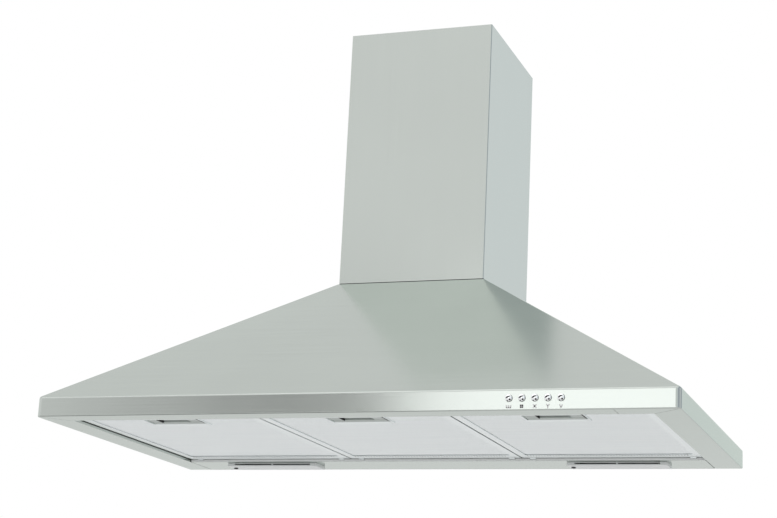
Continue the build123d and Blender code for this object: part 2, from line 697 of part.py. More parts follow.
def scroll_face(inset, top):
    """Volute outline of three quarter arcs and a straight outlet, in the YZ plane."""
    radius = SCROLL_RADIUS - inset
    cy = SCROLL_CENTRE_Y
    cz = SCROLL_CENTRE_Z
    step = SCROLL_STEP
    front = OUTLET_FRONT + inset
    with BuildSketch(Plane.YZ) as sketch:
        with BuildLine():
            Polyline((front, top), (front, cz + radius), (cy, cz + radius))
            CenterArc((cy, cz), radius, 90, 90)
            CenterArc((cy + step, cz), radius + step, 180, 90)
            CenterArc((cy + step, cz + step), radius + 2 * step, 270, 90)
            rear = cy + 3 * step + radius
            Polyline((rear, cz + step), (rear, top), (front, top))
        make_face()
    return sketch.sketch


def scroll_boss_places():
    """Bosses outside the volute's wall, at its front, floor, rear and top."""
    out = SCROLL_BOSS_OFFSET
    cy = SCROLL_CENTRE_Y
    cz = SCROLL_CENTRE_Z
    return [
        (cy - SCROLL_RADIUS - out, cz),
        (cy + SCROLL_STEP, cz - SCROLL_RADIUS - SCROLL_STEP - out),
        (SCROLL_REAR + out, cz + SCROLL_STEP),
        (cy, cz + SCROLL_RADIUS + out),
    ]


def outlet_block(low, high):
    return block(
        SCROLL_LEFT + SCROLL_WALL, SCROLL_RIGHT - SCROLL_WALL,
        OUTLET_FRONT + SCROLL_WALL, SCROLL_REAR - SCROLL_WALL, low, high,
    )


def outlet_screw_places():
    """Corners of the outlet flange under the deck."""
    x = SCROLL_RIGHT + OUTLET_FLANGE / 2
    ys = (OUTLET_FRONT - OUTLET_FLANGE / 2, SCROLL_REAR + OUTLET_FLANGE / 2)
    return [(s * x, y) for s in (-1, 1) for y in ys]


def motor_screw_places():
    turn = 360 / MOTOR_SCREW_COUNT
    angles = [math.radians(90 + turn * i) for i in range(MOTOR_SCREW_COUNT)]
    return [
        (SHAFT_Y + MOTOR_SCREW_RADIUS * math.cos(a), SHAFT_Z + MOTOR_SCREW_RADIUS * math.sin(a))
        for a in angles
    ]


def scroll_housing():
    body = extrude(Pos(SCROLL_LEFT, 0, 0) * scroll_face(0, DECK_BOTTOM), SCROLL_WIDTH, dir=(1, 0, 0))
    for y, z in scroll_boss_places():
        body += rod_x(SCROLL_BOSS_RADIUS, SCROLL_LEFT, SCROLL_RIGHT, y, z)
    body += block(
        SCROLL_LEFT - OUTLET_FLANGE, SCROLL_RIGHT + OUTLET_FLANGE,
        OUTLET_FRONT - OUTLET_FLANGE, SCROLL_REAR + OUTLET_FLANGE,
        DECK_BOTTOM - OUTLET_FLANGE_THICKNESS, DECK_BOTTOM,
    )
    room = Pos(SCROLL_LEFT, 0, 0) * scroll_face(SCROLL_WALL, DECK_BOTTOM - OUTLET_FLANGE_THICKNESS)
    body -= extrude(room, SCROLL_WIDTH - SCROLL_WALL, dir=(1, 0, 0))
    body -= outlet_block(DECK_BOTTOM - OUTLET_FLANGE_THICKNESS, DECK_BOTTOM)
    body -= rod_x(
        SHAFT_RADIUS + SHAFT_HOLE_GAP, SCROLL_RIGHT - SCROLL_WALL, SCROLL_RIGHT, SHAFT_Y, SHAFT_Z,
    )
    for y, z in motor_screw_places():
        body -= rod_x(SCREW_RADIUS + SCREW_FIT, SCROLL_RIGHT - SCROLL_WALL, SCROLL_RIGHT, y, z)
    for y, z in scroll_boss_places():
        body -= rod_x(SCREW_RADIUS + SCREW_FIT, SCROLL_LEFT, SCROLL_LEFT + 2 * SCREW_TIP, y, z)
    for x, y in outlet_screw_places():
        low = DECK_BOTTOM - OUTLET_FLANGE_THICKNESS
        body -= rod_z(SCREW_RADIUS + SCREW_FIT, x, y, low, DECK_BOTTOM)
    return body


def inlet_plate():
    outline = Pos(SCROLL_LEFT, 0, 0) * scroll_face(0, DECK_BOTTOM - OUTLET_FLANGE_THICKNESS)
    plate = extrude(outline, INLET_PLATE, dir=(-1, 0, 0))
    outside = SCROLL_LEFT - INLET_PLATE
    for y, z in scroll_boss_places():
        plate += rod_x(SCROLL_BOSS_RADIUS, outside, SCROLL_LEFT, y, z)
    for y, z in scroll_boss_places():
        plate -= rod_x(SCREW_RADIUS + SCREW_FIT, outside, SCROLL_LEFT, y, z)
    return plate - rod_x(INLET_RADIUS, outside, SCROLL_LEFT, SHAFT_Y, SHAFT_Z)


def inlet_guard():
    """Finger guard over the inlet: rim, middle ring, hub disc and spokes."""
    x1 = SCROLL_LEFT - INLET_PLATE
    x0 = x1 - GUARD_THICKNESS
    rim = INLET_RADIUS + GUARD_BORDER
    guard = tube_x(rim, INLET_RADIUS - GUARD_BAR, x0, x1, SHAFT_Y, SHAFT_Z)
    guard += tube_x(
        GUARD_RING_RADIUS + GUARD_BAR / 2, GUARD_RING_RADIUS - GUARD_BAR / 2, x0, x1, SHAFT_Y, SHAFT_Z,
    )
    guard += rod_x(GUARD_HUB_RADIUS, x0, x1, SHAFT_Y, SHAFT_Z)
    for i in range(GUARD_SPOKES):
        spoke = block(x0, x1, 0, INLET_RADIUS, -GUARD_BAR / 2, GUARD_BAR / 2)
        guard += Pos(0, SHAFT_Y, SHAFT_Z) * Rot(360 / GUARD_SPOKES * i, 0, 0) * spoke
    return guard


def impeller():
    """Forward-bladed drum: back disc, blades, inlet ring and hub."""
    back = SCROLL_RIGHT - SCROLL_WALL - IMPELLER_SIDE_GAP
    front = SCROLL_LEFT + IMPELLER_INLET_GAP
    axis = (SHAFT_Y, SHAFT_Z)
    blade_root = IMPELLER_RADIUS - BLADE_CHORD * math.cos(math.radians(BLADE_ANGLE))
    drum = rod_x(IMPELLER_RADIUS, back - IMPELLER_DISC, back, *axis)
    drum += tube_x(IMPELLER_RADIUS, blade_root, front, front + IMPELLER_RING, *axis)
    blades = []
    for i in range(BLADE_COUNT):
        blade = block(
            front + IMPELLER_RING / 2, back - IMPELLER_DISC / 2, -BLADE_CHORD, 0,
            -BLADE_THICKNESS, 0,
        )
        leaned = Pos(0, IMPELLER_RADIUS - BLADE_THICKNESS, 0) * Rot(BLADE_ANGLE, 0, 0) * blade
        blades.append(Pos(0, *axis) * Rot(360 / BLADE_COUNT * i, 0, 0) * leaned)
    drum = drum.fuse(*[solid for b in blades for solid in b.solids()])
    drum += rod_x(HUB_RADIUS, back - HUB_LENGTH, back, *axis)
    return drum - rod_x(SHAFT_RADIUS, back - HUB_LENGTH, back, *axis)


def motor_casing():
    inner_end = SCROLL_RIGHT + MOTOR_END_WALL
    axis = (SHAFT_Y, SHAFT_Z)
    casing = rod_x(MOTOR_RADIUS, SCROLL_RIGHT, MOTOR_END, *axis)
    casing += rod_x(MOTOR_FLANGE_RADIUS, SCROLL_RIGHT, SCROLL_RIGHT + MOTOR_FLANGE, *axis)
    casing -= rod_x(MOTOR_RADIUS - MOTOR_WALL, inner_end, MOTOR_END, *axis)
    casing += rod_x(BEARING_RADIUS + BEARING_BOSS_WALL, inner_end, SCROLL_RIGHT + BEARING_LENGTH, *axis)
    casing -= rod_x(BEARING_RADIUS, SCROLL_RIGHT, SCROLL_RIGHT + BEARING_LENGTH, *axis)
    for y, z in motor_screw_places():
        casing -= rod_x(SCREW_RADIUS + SCREW_FIT, SCROLL_RIGHT, SCROLL_RIGHT + MOTOR_FLANGE, y, z)
    return casing


def motor_end_cap():
    axis = (SHAFT_Y, SHAFT_Z)
    outside = MOTOR_END + MOTOR_END_WALL
    cap = rod_x(MOTOR_RADIUS, MOTOR_END, outside, *axis)
    cap += rod_x(BEARING_RADIUS + BEARING_BOSS_WALL, outside - BEARING_LENGTH, MOTOR_END, *axis)
    return cap - rod_x(BEARING_RADIUS, outside - BEARING_LENGTH, outside, *axis)


def motor_bearings():
    outside = MOTOR_END + MOTOR_END_WALL
    spans = [(SCROLL_RIGHT, SCROLL_RIGHT + BEARING_LENGTH), (outside - BEARING_LENGTH, outside)]
    bore = SHAFT_RADIUS + SHAFT_FIT
    return [tube_x(BEARING_RADIUS, bore, *span, SHAFT_Y, SHAFT_Z) for span in spans]


def stator_span():
    middle = (SCROLL_RIGHT + BEARING_LENGTH + MOTOR_END + MOTOR_END_WALL - BEARING_LENGTH) / 2
    return middle - STATOR_LENGTH / 2, middle + STATOR_LENGTH / 2


def motor_stator():
    outer = MOTOR_RADIUS - MOTOR_WALL - STATOR_FIT
    return tube_x(outer, STATOR_INNER_RADIUS, *stator_span(), SHAFT_Y, SHAFT_Z)


def motor_rotor():
    """Rotor core on the shaft that also drives the impeller."""
    hub_start = SCROLL_RIGHT - SCROLL_WALL - IMPELLER_SIDE_GAP - HUB_LENGTH
    shaft = rod_x(SHAFT_RADIUS, hub_start, MOTOR_END + MOTOR_END_WALL, SHAFT_Y, SHAFT_Z)
    core = rod_x(STATOR_INNER_RADIUS - ROTOR_GAP, *stator_span(), SHAFT_Y, SHAFT_Z)
    return shaft + core


def outlet_collar():
    y = CHIMNEY_MID_Y
    collar = rod_z(COLLAR_RADIUS, 0, y, DECK_TOP, DECK_TOP + COLLAR_HEIGHT)
    collar += rod_z(COLLAR_FLANGE_RADIUS, 0, y, DECK_TOP, DECK_TOP + COLLAR_FLANGE)
    collar -= rod_z(COLLAR_RADIUS - COLLAR_WALL, 0, y, DECK_TOP, DECK_TOP + COLLAR_HEIGHT)
    for x, screw_y in collar_screw_places():
        collar -= rod_z(SCREW_RADIUS + SCREW_FIT, x, screw_y, DECK_TOP, DECK_TOP + COLLAR_FLANGE)
    return collar - rod_x(FLAP_PIN_RADIUS, -COLLAR_RADIUS, COLLAR_RADIUS, y, FLAP_PIN_Z)


def flap_pin():
    wall_middle = COLLAR_RADIUS - COLLAR_WALL / 2
    return rod_x(FLAP_PIN_RADIUS, -wall_middle, wall_middle, CHIMNEY_MID_Y, FLAP_PIN_Z)


def damper_flap(side, spans):
    """Half disc on one side of the pin, carried by barrels along the given spans."""
    bore = FLAP_PIN_RADIUS + FLAP_PIN_FIT
    barrel = bore + FLAP_BARREL_WALL
    edge = barrel + FLAP_BARREL_GAP
    y = CHIMNEY_MID_Y
    low = FLAP_PIN_Z - FLAP_THICKNESS / 2
    high = low + FLAP_THICKNESS
    flap = rod_z(FLAP_RADIUS, 0, y, low, high)
    kept = sorted((y + side * edge, y + side * FLAP_RADIUS))
    flap = flap & block(-FLAP_RADIUS, FLAP_RADIUS, *kept, low, high)
    for span in spans:
        web = sorted((y, y + side * (edge + FLAP_BARREL_WALL)))
        flap += block(*span, *web, low, high)
        flap += rod_x(barrel, *span, y, FLAP_PIN_Z)
    for span in spans:
        flap -= rod_x(bore, *span, y, FLAP_PIN_Z)
    return flap


def flap_front():
    end = FLAP_BARREL_END
    split = FLAP_BARREL_SPLIT
    return damper_flap(-1, [(-end, -split - FLAP_BARREL_GAP), (split + FLAP_BARREL_GAP, end)])


def flap_rear():
    return damper_flap(1, [(-FLAP_BARREL_SPLIT, FLAP_BARREL_SPLIT)])


def cable_gland():
    bottom = DECK_BOTTOM - GLAND_NUT
    gland = rod_z(GLAND_RADIUS, GLAND_X, GLAND_Y, bottom, DECK_TOP + GLAND_FLANGE)
    gland += rod_z(GLAND_FLANGE_RADIUS, GLAND_X, GLAND_Y, DECK_TOP, DECK_TOP + GLAND_FLANGE)
    gland += rod_z(GLAND_FLANGE_RADIUS, GLAND_X, GLAND_Y, bottom, DECK_BOTTOM)
    return gland - rod_z(GLAND_BORE_RADIUS, GLAND_X, GLAND_Y, bottom, DECK_TOP + GLAND_FLANGE)


def capacitor():
    """Run capacitor on the wall panel, midway between the upper and lower leads."""
    front = WALL_PANEL_FRONT - CAPACITOR_LENGTH
    middle_z = sum(lead_entry_heights()) / 2
    return rod_y(CAPACITOR_RADIUS, CAPACITOR_X, front, WALL_PANEL_FRONT, middle_z)


def terminal_box_span():
    half = TERMINAL_BOX_WIDTH / 2
    return TERMINAL_BOX_X - half, TERMINAL_BOX_X + half


def terminal_box():
    left, right = terminal_box_span()
    low = TERMINAL_BOX_Z - TERMINAL_BOX_HEIGHT / 2
    high = low + TERMINAL_BOX_HEIGHT
    front = WALL_PANEL_FRONT - TERMINAL_BOX_DEPTH
    wall = TERMINAL_BOX_WALL
    box = block(left, right, front, WALL_PANEL_FRONT, low, high)
    box -= block(left + wall, right - wall, front, WALL_PANEL_FRONT - wall, low + wall, high - wall)
    for z in lead_entry_heights():
        for x0, x1 in ((left, left + wall), (right - wall, right)):
            box -= rod_x(LEAD_RADIUS + LEAD_FIT, x0, x1, LEAD_Y - wall, z)
    return box


def lead_entry_heights():
    """Two rows of lead holes in the sides of the terminal box."""
    third = TERMINAL_BOX_HEIGHT / 3
    return TERMINAL_BOX_Z - third / 2 - LEAD_RADIUS, TERMINAL_BOX_Z + third


def terminal_box_lid():
    left, right = terminal_box_span()
    low = TERMINAL_BOX_Z - TERMINAL_BOX_HEIGHT / 2
    front = WALL_PANEL_FRONT - TERMINAL_BOX_DEPTH
    return block(left, right, front - TERMINAL_LID, front, low, low + TERMINAL_BOX_HEIGHT)


def terminal_block():
    half = TERMINAL_BLOCK_LENGTH / 2
    seat = WALL_PANEL_FRONT - TERMINAL_BOX_WALL
    return block(
        TERMINAL_BOX_X - half, TERMINAL_BOX_X + half, seat - TERMINAL_BLOCK_DEPTH, seat,
        TERMINAL_BOX_Z - TERMINAL_BLOCK_HEIGHT / 2, TERMINAL_BOX_Z + TERMINAL_BLOCK_HEIGHT / 2,
    )


def lead(points):
    """Round lead along straight runs joined by tangent arcs."""
    path = FilletPolyline(*points, radius=LEAD_BEND)
    start = Plane(origin=path @ 0, z_dir=path % 0)
    return sweep(start * Circle(LEAD_RADIUS), path=path)


def motor_lead():
    left, _ = terminal_box_span()
    _, high = lead_entry_heights()
    x = (SCROLL_RIGHT + MOTOR_FLANGE + MOTOR_END) / 2
    y = LEAD_Y - TERMINAL_BOX_WALL
    start = SHAFT_Y + MOTOR_RADIUS + 2 * LEAD_FIT
    return lead([(x, start, SHAFT_Z), (x, y, high), (left + TERMINAL_BOX_WALL, y, high)])


def switch_lead():
    """From the switch along the right side flange, up the wall panel to the terminal box."""
    _, right = terminal_box_span()
    _, high = lead_entry_heights()
    wall_y = LEAD_Y - TERMINAL_BOX_WALL
    channel_x = HALF_WIDTH - SIDE_FLANGE / 2
    channel_z = 2 * SHEET + LEAD_RADIUS + LEAD_FIT
    slope = PYRAMID_HEIGHT / SIDE_RUN
    climb_x = channel_x - 2 * SIDE_FLANGE
    climb_z = FASCIA_HEIGHT + (HALF_WIDTH - climb_x) * slope - 4 * LEAD_RADIUS
    _, _, switch_right = switch_span()
    switch_y = SHEET - HOOD_DEPTH + SWITCH_FRONT_GAP + SWITCH_DEPTH / 2
    return lead([
        (switch_right, switch_y, channel_z), (channel_x, switch_y, channel_z),
        (channel_x, wall_y, channel_z), (climb_x, wall_y, climb_z),
        (climb_x - SIDE_FLANGE, wall_y, high), (right - TERMINAL_BOX_WALL, wall_y, high),
    ])


def lamp_leads():
    """From each lamp tray's roof along the wall panel to the terminal box."""
    left, right = terminal_box_span()
    low, _ = lead_entry_heights()
    y = LEAD_Y - TERMINAL_BOX_WALL
    inner = TRAY_LENGTH / 2 - HOLDER_LENGTH / 2
    ends = {"left": left + TERMINAL_BOX_WALL, "right": right - TERMINAL_BOX_WALL}
    leads = []
    for side, x in LAMP_XS.items():
        rise_x = x - inner
        leads.append(lead([(rise_x, y, TRAY_TOP), (rise_x, y, low), (ends[side], y, low)]))
    return leads


def switch_span():
    left = BUTTON_XS[0] - SWITCH_MARGIN
    right = BUTTON_XS[-1] + SWITCH_MARGIN
    return SHEET - HOOD_DEPTH + SWITCH_FRONT_GAP, left, right


def switch_bracket():
    """Angle on the front flange that the switch stands on and leans against."""
    front, left, right = switch_span()
    back = front + SWITCH_DEPTH
    foot = block(left, right, front, back + SWITCH_SHELF, SHEET, SHEET + SWITCH_SHELF)
    return foot + block(left, right, back, back + SWITCH_SHELF, SHEET, SHEET + SWITCH_HEIGHT)


def switch_body():
    front, left, right = switch_span()
    low = SHEET + SWITCH_SHELF
    body = block(left, right, front, front + SWITCH_DEPTH, low, low + SWITCH_HEIGHT + SWITCH_SHELF)
    stem_end = button_back() + BUTTON_STEM_LENGTH + BUTTON_TRAVEL + SWITCH_STEM_SPARE
    for x in BUTTON_XS:
        body -= rod_y(BUTTON_STEM_RADIUS + SWITCH_STEM_GAP, x, front, stem_end, BUTTON_Z)
    return body


def button_back():
    return SHEET - HOOD_DEPTH + BUTTON_BACK_REACH


def push_button(x):
    """Domed round cap with a rolled edge on a stem that runs in the switch."""
    front = -HOOD_DEPTH - BUTTON_PROUD
    cap = rod_y(BUTTON_RADIUS, x, front, button_back(), BUTTON_Z)
    dome_radius = (BUTTON_RADIUS ** 2 + BUTTON_DOME ** 2) / (2 * BUTTON_DOME)
    cap = cap & Pos(x, front + dome_radius, BUTTON_Z) * Sphere(dome_radius)
    rims = [e for e in cap.edges() if abs(e.center().Y - front - BUTTON_DOME) < BUTTON_EDGE / 2]
    cap = fillet(rims, BUTTON_EDGE)
    return cap + rod_y(
        BUTTON_STEM_RADIUS, x, button_back(), button_back() + BUTTON_STEM_LENGTH, BUTTON_Z,
    )


def latch_pocket_span(x):
    """Inner ends of a pocket: close at the plate's left end, open at its right."""
    middle = x + LATCH_SHIFT
    return middle - LATCH_WIDTH / 2 - LATCH_GAP, middle + LATCH_WIDTH / 2 + LATCH_END_GAP


def latch_pocket_rows():
    front = LATCH_POCKET_FRONT + LATCH_POCKET_WALL
    return front, front + LATCH_POCKET_LENGTH


def latch_pocket_box(x, grow):
    left, right = latch_pocket_span(x)
    front, rear = latch_pocket_rows()
    return block(
        left - grow, right + grow, front - grow, rear + grow, FILTER_RECESS, LATCH_POCKET_ROOF,
    )


def latch_bolt_room(x, grow):
    """Channel of the bolt from the pocket through the frame's front wall."""
    half = LATCH_BOLT_WIDTH / 2 + grow
    middle = x + LATCH_SHIFT
    return block(
        middle - half, middle + half, FILTER_FRONT, LATCH_POCKET_FRONT + LATCH_POCKET_WALL,
        LATCH_FLOOR_Z - grow, LATCH_FLOOR_Z + LATCH_THICKNESS + grow,
    )


def filter_frame(x):
    """Folded channel frame with the pocket of its latch and two hinge tabs."""
    half = FILTER_WIDTH / 2
    skin = FILTER_SKIN
    frame = block(x - half, x + half, FILTER_FRONT, FILTER_REAR, FILTER_RECESS, FILTER_TOP)
    frame -= block(
        x - half + skin, x + half - skin, FILTER_FRONT + skin, FILTER_REAR - skin,
        FILTER_RECESS + skin, FILTER_TOP - skin,
    )
    frame -= block(
        x - half + FILTER_BORDER, x + half - FILTER_BORDER,
        FILTER_FRONT + FILTER_FRONT_BORDER, FILTER_REAR - FILTER_REAR_BORDER, FILTER_RECESS, FILTER_TOP,
    )
    pocket = latch_pocket_box(x, LATCH_POCKET_WALL) - latch_pocket_box(x, 0)
    roof = latch_pocket_box(x, LATCH_POCKET_WALL) & block(
        x - half, x + half, FILTER_FRONT, FILTER_REAR, LATCH_POCKET_ROOF - skin, LATCH_POCKET_ROOF,
    )
    frame += pocket + roof
    front, rear = latch_pocket_rows()
    plate_rear = front + LATCH_GAP + LATCH_LENGTH
    ends = (latch_pocket_span(x)[0], x + LATCH_SHIFT + LATCH_WIDTH / 2)
    frame += block(*ends, front, front + LATCH_LEDGE, FILTER_RECESS, FILTER_RECESS + skin)
    rear_ledge = block(*ends, plate_rear - LATCH_LEDGE, rear, FILTER_RECESS, FILTER_RECESS + skin)
    lower_edge = rear_ledge.edges().filter_by(Axis.X).group_by(Axis.Y)[0].sort_by(Axis.Z)[0]
    frame += chamfer(lower_edge, LATCH_LEDGE_CHAMFER)
    for side in (-1, 1):
        tab_x = x + side * hinge_tab_offset()
        frame += block(
            tab_x - HINGE_TAB_WIDTH / 2, tab_x + HINGE_TAB_WIDTH / 2,
            FILTER_REAR - skin, HINGE_Y + HINGE_TAB_REACH,
            FILTER_RECESS, FILTER_RECESS + HINGE_TAB_THICKNESS,
        )
    return frame - latch_bolt_room(x, LATCH_BOLT_SIDE_GAP)


def filter_mesh(x):
    """Stacked sheets of expanded mesh, held by their edges in the frame's channel."""
    half = FILTER_WIDTH / 2 - FILTER_SKIN
    low = FILTER_RECESS + FILTER_SKIN
    step = (FILTER_THICKNESS - 2 * FILTER_SKIN - MESH_LAYER) / (MESH_LAYERS - 1)
    layers = []
    for i in range(MESH_LAYERS):
        base = low + i * step
        sheet = block(
            x - half, x + half, FILTER_FRONT + FILTER_SKIN, FILTER_REAR - FILTER_SKIN,
            base, base + MESH_LAYER,
        )
        sheet -= latch_pocket_box(x, LATCH_POCKET_WALL)
        layers.append(sheet - latch_bolt_room(x, LATCH_BOLT_SIDE_GAP))
    return layers


def filter_latch(x):
    """Sliding plate with a finger slot and the bolt that points at the front lip."""
    middle = x + LATCH_SHIFT
    front = LATCH_POCKET_FRONT + LATCH_POCKET_WALL + LATCH_GAP
    half = LATCH_WIDTH / 2
    low = LATCH_FLOOR_Z
    high = low + LATCH_THICKNESS
    plate = block(middle - half, middle + half, front, front + LATCH_LENGTH, low, high)
    slot = LATCH_SLOT_LENGTH / 2
    slot_front = front + LATCH_SLOT_INSET
    plate -= block(middle - slot, middle + slot, slot_front, slot_front + LATCH_SLOT_WIDTH, low, high)
    bolt = LATCH_BOLT_WIDTH / 2
    return plate + block(middle - bolt, middle + bolt, OPEN_FRONT + LATCH_BOLT_GAP, front, low, high)


def screw_down(x, y, seat, tip):
    """Pan-head screw with its head on top of the seat."""
    head = rod_z(SCREW_HEAD_RADIUS, x, y, seat, seat + SCREW_HEAD)
    return head + rod_z(SCREW_RADIUS, x, y, tip, seat)


def screw_up(x, y, seat, tip):
    head = rod_z(SCREW_HEAD_RADIUS, x, y, seat - SCREW_HEAD, seat)
    return head + rod_z(SCREW_RADIUS, x, y, seat, tip)


def body_screws():
    """Screws of the rim, the collar and the lamp strip."""
    screws = [screw_up(x, y, DECK_BOTTOM, CHIMNEY_BASE + SHEET) for x, y in chimney_screw_places()]
    collar_seat = DECK_TOP + COLLAR_FLANGE
    screws += [screw_down(x, y, collar_seat, DECK_BOTTOM) for x, y in collar_screw_places()]
    screws += [screw_down(x, y, 2 * SHEET, SHEET) for x, y in strip_screw_places()]
    return screws


def blower_screws():
    """Screws of the outlet flange, the inlet plate and the motor."""
    flange_low = DECK_BOTTOM - OUTLET_FLANGE_THICKNESS
    screws = [screw_up(x, y, flange_low, DECK_TOP) for x, y in outlet_screw_places()]
    plate_face = SCROLL_LEFT - INLET_PLATE
    for y, z in scroll_boss_places():
        head = rod_x(SCREW_HEAD_RADIUS, plate_face - SCREW_HEAD, plate_face, y, z)
        screws.append(head + rod_x(SCREW_RADIUS, plate_face, SCROLL_LEFT + SCREW_TIP, y, z))
    flange_face = SCROLL_RIGHT + MOTOR_FLANGE
    for y, z in motor_screw_places():
        head = rod_x(SCREW_HEAD_RADIUS, flange_face, flange_face + SCREW_HEAD, y, z)
        screws.append(head + rod_x(SCREW_RADIUS, SCROLL_RIGHT - SCROLL_WALL, flange_face, y, z))
    return screws


def solids_of(shape):
    shapes = shape if isinstance(shape, list) else [shape]
    return [solid for s in shapes for solid in s.solids()]


def all_nodes():
    nodes = {
        "canopy_shell": canopy_shell(),
        "back_panel": back_panel(),
        "lamp_panel": lamp_panel(),
        "deck_plate": deck_plate(),
        "chimney_lower": chimney_lower(),
        "chimney_seal": chimney_seal(),
        "chimney_upper": chimney_upper(),
        "upper_bracket": upper_bracket(),
        "bracket_screws": bracket_screws(),
        "scroll_housing": scroll_housing(),
        "inlet_plate": inlet_plate(),
        "inlet_guard": inlet_guard(),
        "impeller": impeller(),
        "motor_casing": motor_casing(),
        "motor_end_cap": motor_end_cap(),
        "motor_bearings": motor_bearings(),
        "motor_stator": motor_stator(),
        "motor_rotor": motor_rotor(),
        "outlet_collar": outlet_collar(),
        "flap_pin": flap_pin(),
        "flap_front": flap_front(),
        "flap_rear": flap_rear(),
        "cable_gland": cable_gland(),
        "capacitor": capacitor(),
        "terminal_box": terminal_box(),
        "terminal_box_lid": terminal_box_lid(),
        "terminal_block": terminal_block(),
        "motor_lead": motor_lead(),
        "switch_lead": switch_lead(),
        "lamp_leads": lamp_leads(),
        "switch_bracket": switch_bracket(),
        "switch_body": switch_body(),
        "body_screws": body_screws(),
        "blower_screws": blower_screws(),
    }
    for side, x in LAMP_XS.items():
        nodes[f"lamp_tray_{side}"] = lamp_tray(x)
        nodes[f"lampholder_{side}"] = lampholder(x)
        nodes[f"bulb_{side}"] = bulb(x)
        nodes[f"lamp_cover_{side}"] = lamp_cover(x)
        nodes[f"cover_screw_{side}"] = cover_screw(x)
    for i, x in enumerate(BUTTON_XS, 1):
        nodes[f"button_{i}"] = push_button(x)
    for i, x in enumerate(FILTER_XS, 1):
        nodes[f"filter_frame_{i}"] = filter_frame(x)
        nodes[f"filter_mesh_{i}"] = filter_mesh(x)
        nodes[f"filter_latch_{i}"] = filter_latch(x)
    return nodes


os.makedirs("parts", exist_ok=True)
for name, shape in all_nodes().items():
    solids = solids_of(shape)
    whole = solids[0] if len(solids) == 1 else Compound(children=solids)
    export_step(whole, f"parts/{name}.step")
    print(name, len(solids), "solids")
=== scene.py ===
# %% [markdown]
# A wall-mounted chimney hood in brushed stainless steel.
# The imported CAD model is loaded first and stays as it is: every sheet, filter, lamp and button is already at
# its real size and place, in metres. This lesson dresses that frame. It gives each part its finish, and adds
# the fine things that the solids leave plain, such as mesh, drain slots and the marks under the buttons.

# %% Load the frame
import math

import bmesh
import bpy
from mathutils import Matrix, Vector


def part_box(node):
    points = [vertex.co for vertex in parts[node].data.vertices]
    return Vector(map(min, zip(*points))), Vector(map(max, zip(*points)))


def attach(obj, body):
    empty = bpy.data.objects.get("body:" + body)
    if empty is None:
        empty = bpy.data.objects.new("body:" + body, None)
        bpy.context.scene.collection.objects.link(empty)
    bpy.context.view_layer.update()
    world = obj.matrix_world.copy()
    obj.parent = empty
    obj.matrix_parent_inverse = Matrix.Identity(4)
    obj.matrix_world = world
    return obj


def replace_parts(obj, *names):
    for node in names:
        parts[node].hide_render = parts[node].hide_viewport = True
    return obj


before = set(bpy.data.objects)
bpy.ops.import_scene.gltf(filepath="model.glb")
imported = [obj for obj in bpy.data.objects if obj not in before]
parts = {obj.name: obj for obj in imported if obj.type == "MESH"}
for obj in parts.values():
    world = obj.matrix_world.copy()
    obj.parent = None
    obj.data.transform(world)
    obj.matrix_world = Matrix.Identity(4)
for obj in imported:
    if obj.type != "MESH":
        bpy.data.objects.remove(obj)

scene = bpy.context.scene
scene.view_settings.view_transform = "Standard"
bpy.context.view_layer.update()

# %% [markdown]
# The camera comes before any surface, because it decides what has to be seen.
# It stands in front of the hood, to its right and below it, as the photographer did, so that the underside
# shows. A camera is easiest to place by three turns: yaw to the side, pitch upwards and a small roll. The
# long lens keeps the uprights nearly parallel.

# %% Camera
PHOTO_WIDTH = 777
FOCAL_LENGTH_PIXELS = 1816.8
SENSOR_WIDTH = 36.0
CAMERA_PLACE = Vector((0.8500, -2.6882, -0.3993))
CAMERA_YAW = 0.3468
CAMERA_PITCH = 0.2542
CAMERA_ROLL = 0.0483


def camera_turn(yaw, pitch, roll):
    """Matrix whose columns are the camera's right, up and backward directions."""
    level = Vector((math.cos(yaw), math.sin(yaw), 0.0))
    ahead = Vector((-math.sin(yaw), math.cos(yaw), 0.0))
    forward = math.cos(pitch) * ahead + math.sin(pitch) * Vector((0.0, 0.0, 1.0))
    upward = level.cross(forward)
    right = math.cos(roll) * level + math.sin(roll) * upward
    up = math.cos(roll) * upward - math.sin(roll) * level
    return Matrix((right, up, -forward)).transposed()


camera = bpy.data.objects.new("camera", bpy.data.cameras.new("camera"))
camera.data.sensor_fit = "HORIZONTAL"
camera.data.sensor_width = SENSOR_WIDTH
camera.data.lens = FOCAL_LENGTH_PIXELS * SENSOR_WIDTH / PHOTO_WIDTH
turn = camera_turn(CAMERA_YAW, CAMERA_PITCH, CAMERA_ROLL)
camera.matrix_world = Matrix.Translation(CAMERA_PLACE) @ turn.to_4x4()
scene.collection.objects.link(camera)
scene.camera = camera
print("camera lens", round(camera.data.lens, 2), "mm")

# %% [markdown]
# Metal shows what stands around it, so the studio matters more here than on any painted thing.
# Nodes are wired by one small helper, in materials, in the world and in Geometry Nodes alike: it adds a node,
# sets its settings, and fills each input with a constant or with another node's output.

# %% Node helpers
def add(tree, kind, inputs, **settings):
    """New node whose inputs are constants or other nodes' outputs."""
    node = tree.nodes.new(kind)
    for name, value in settings.items():
        setattr(node, name, value)
    for name, value in inputs.items():
        if isinstance(value, bpy.types.NodeSocket):
            tree.links.new(value, node.inputs[name])
        else:
            node.inputs[name].default_value = value
    return node


def seen_plainly(tree):
    """1 on rays from the camera or off a mirror or through glass, and 0 on soft light."""
    path = add(tree, "ShaderNodeLightPath", {})
    mirror = add(tree, "ShaderNodeMath", {
        0: path.outputs["Is Camera Ray"], 1: path.outputs["Is Glossy Ray"],
    }, operation="MAXIMUM")
    return add(tree, "ShaderNodeMath", {
        0: mirror.outputs["Value"], 1: path.outputs["Is Transmission Ray"],
    }, operation="MAXIMUM").outputs["Value"]


print("node helpers ready")

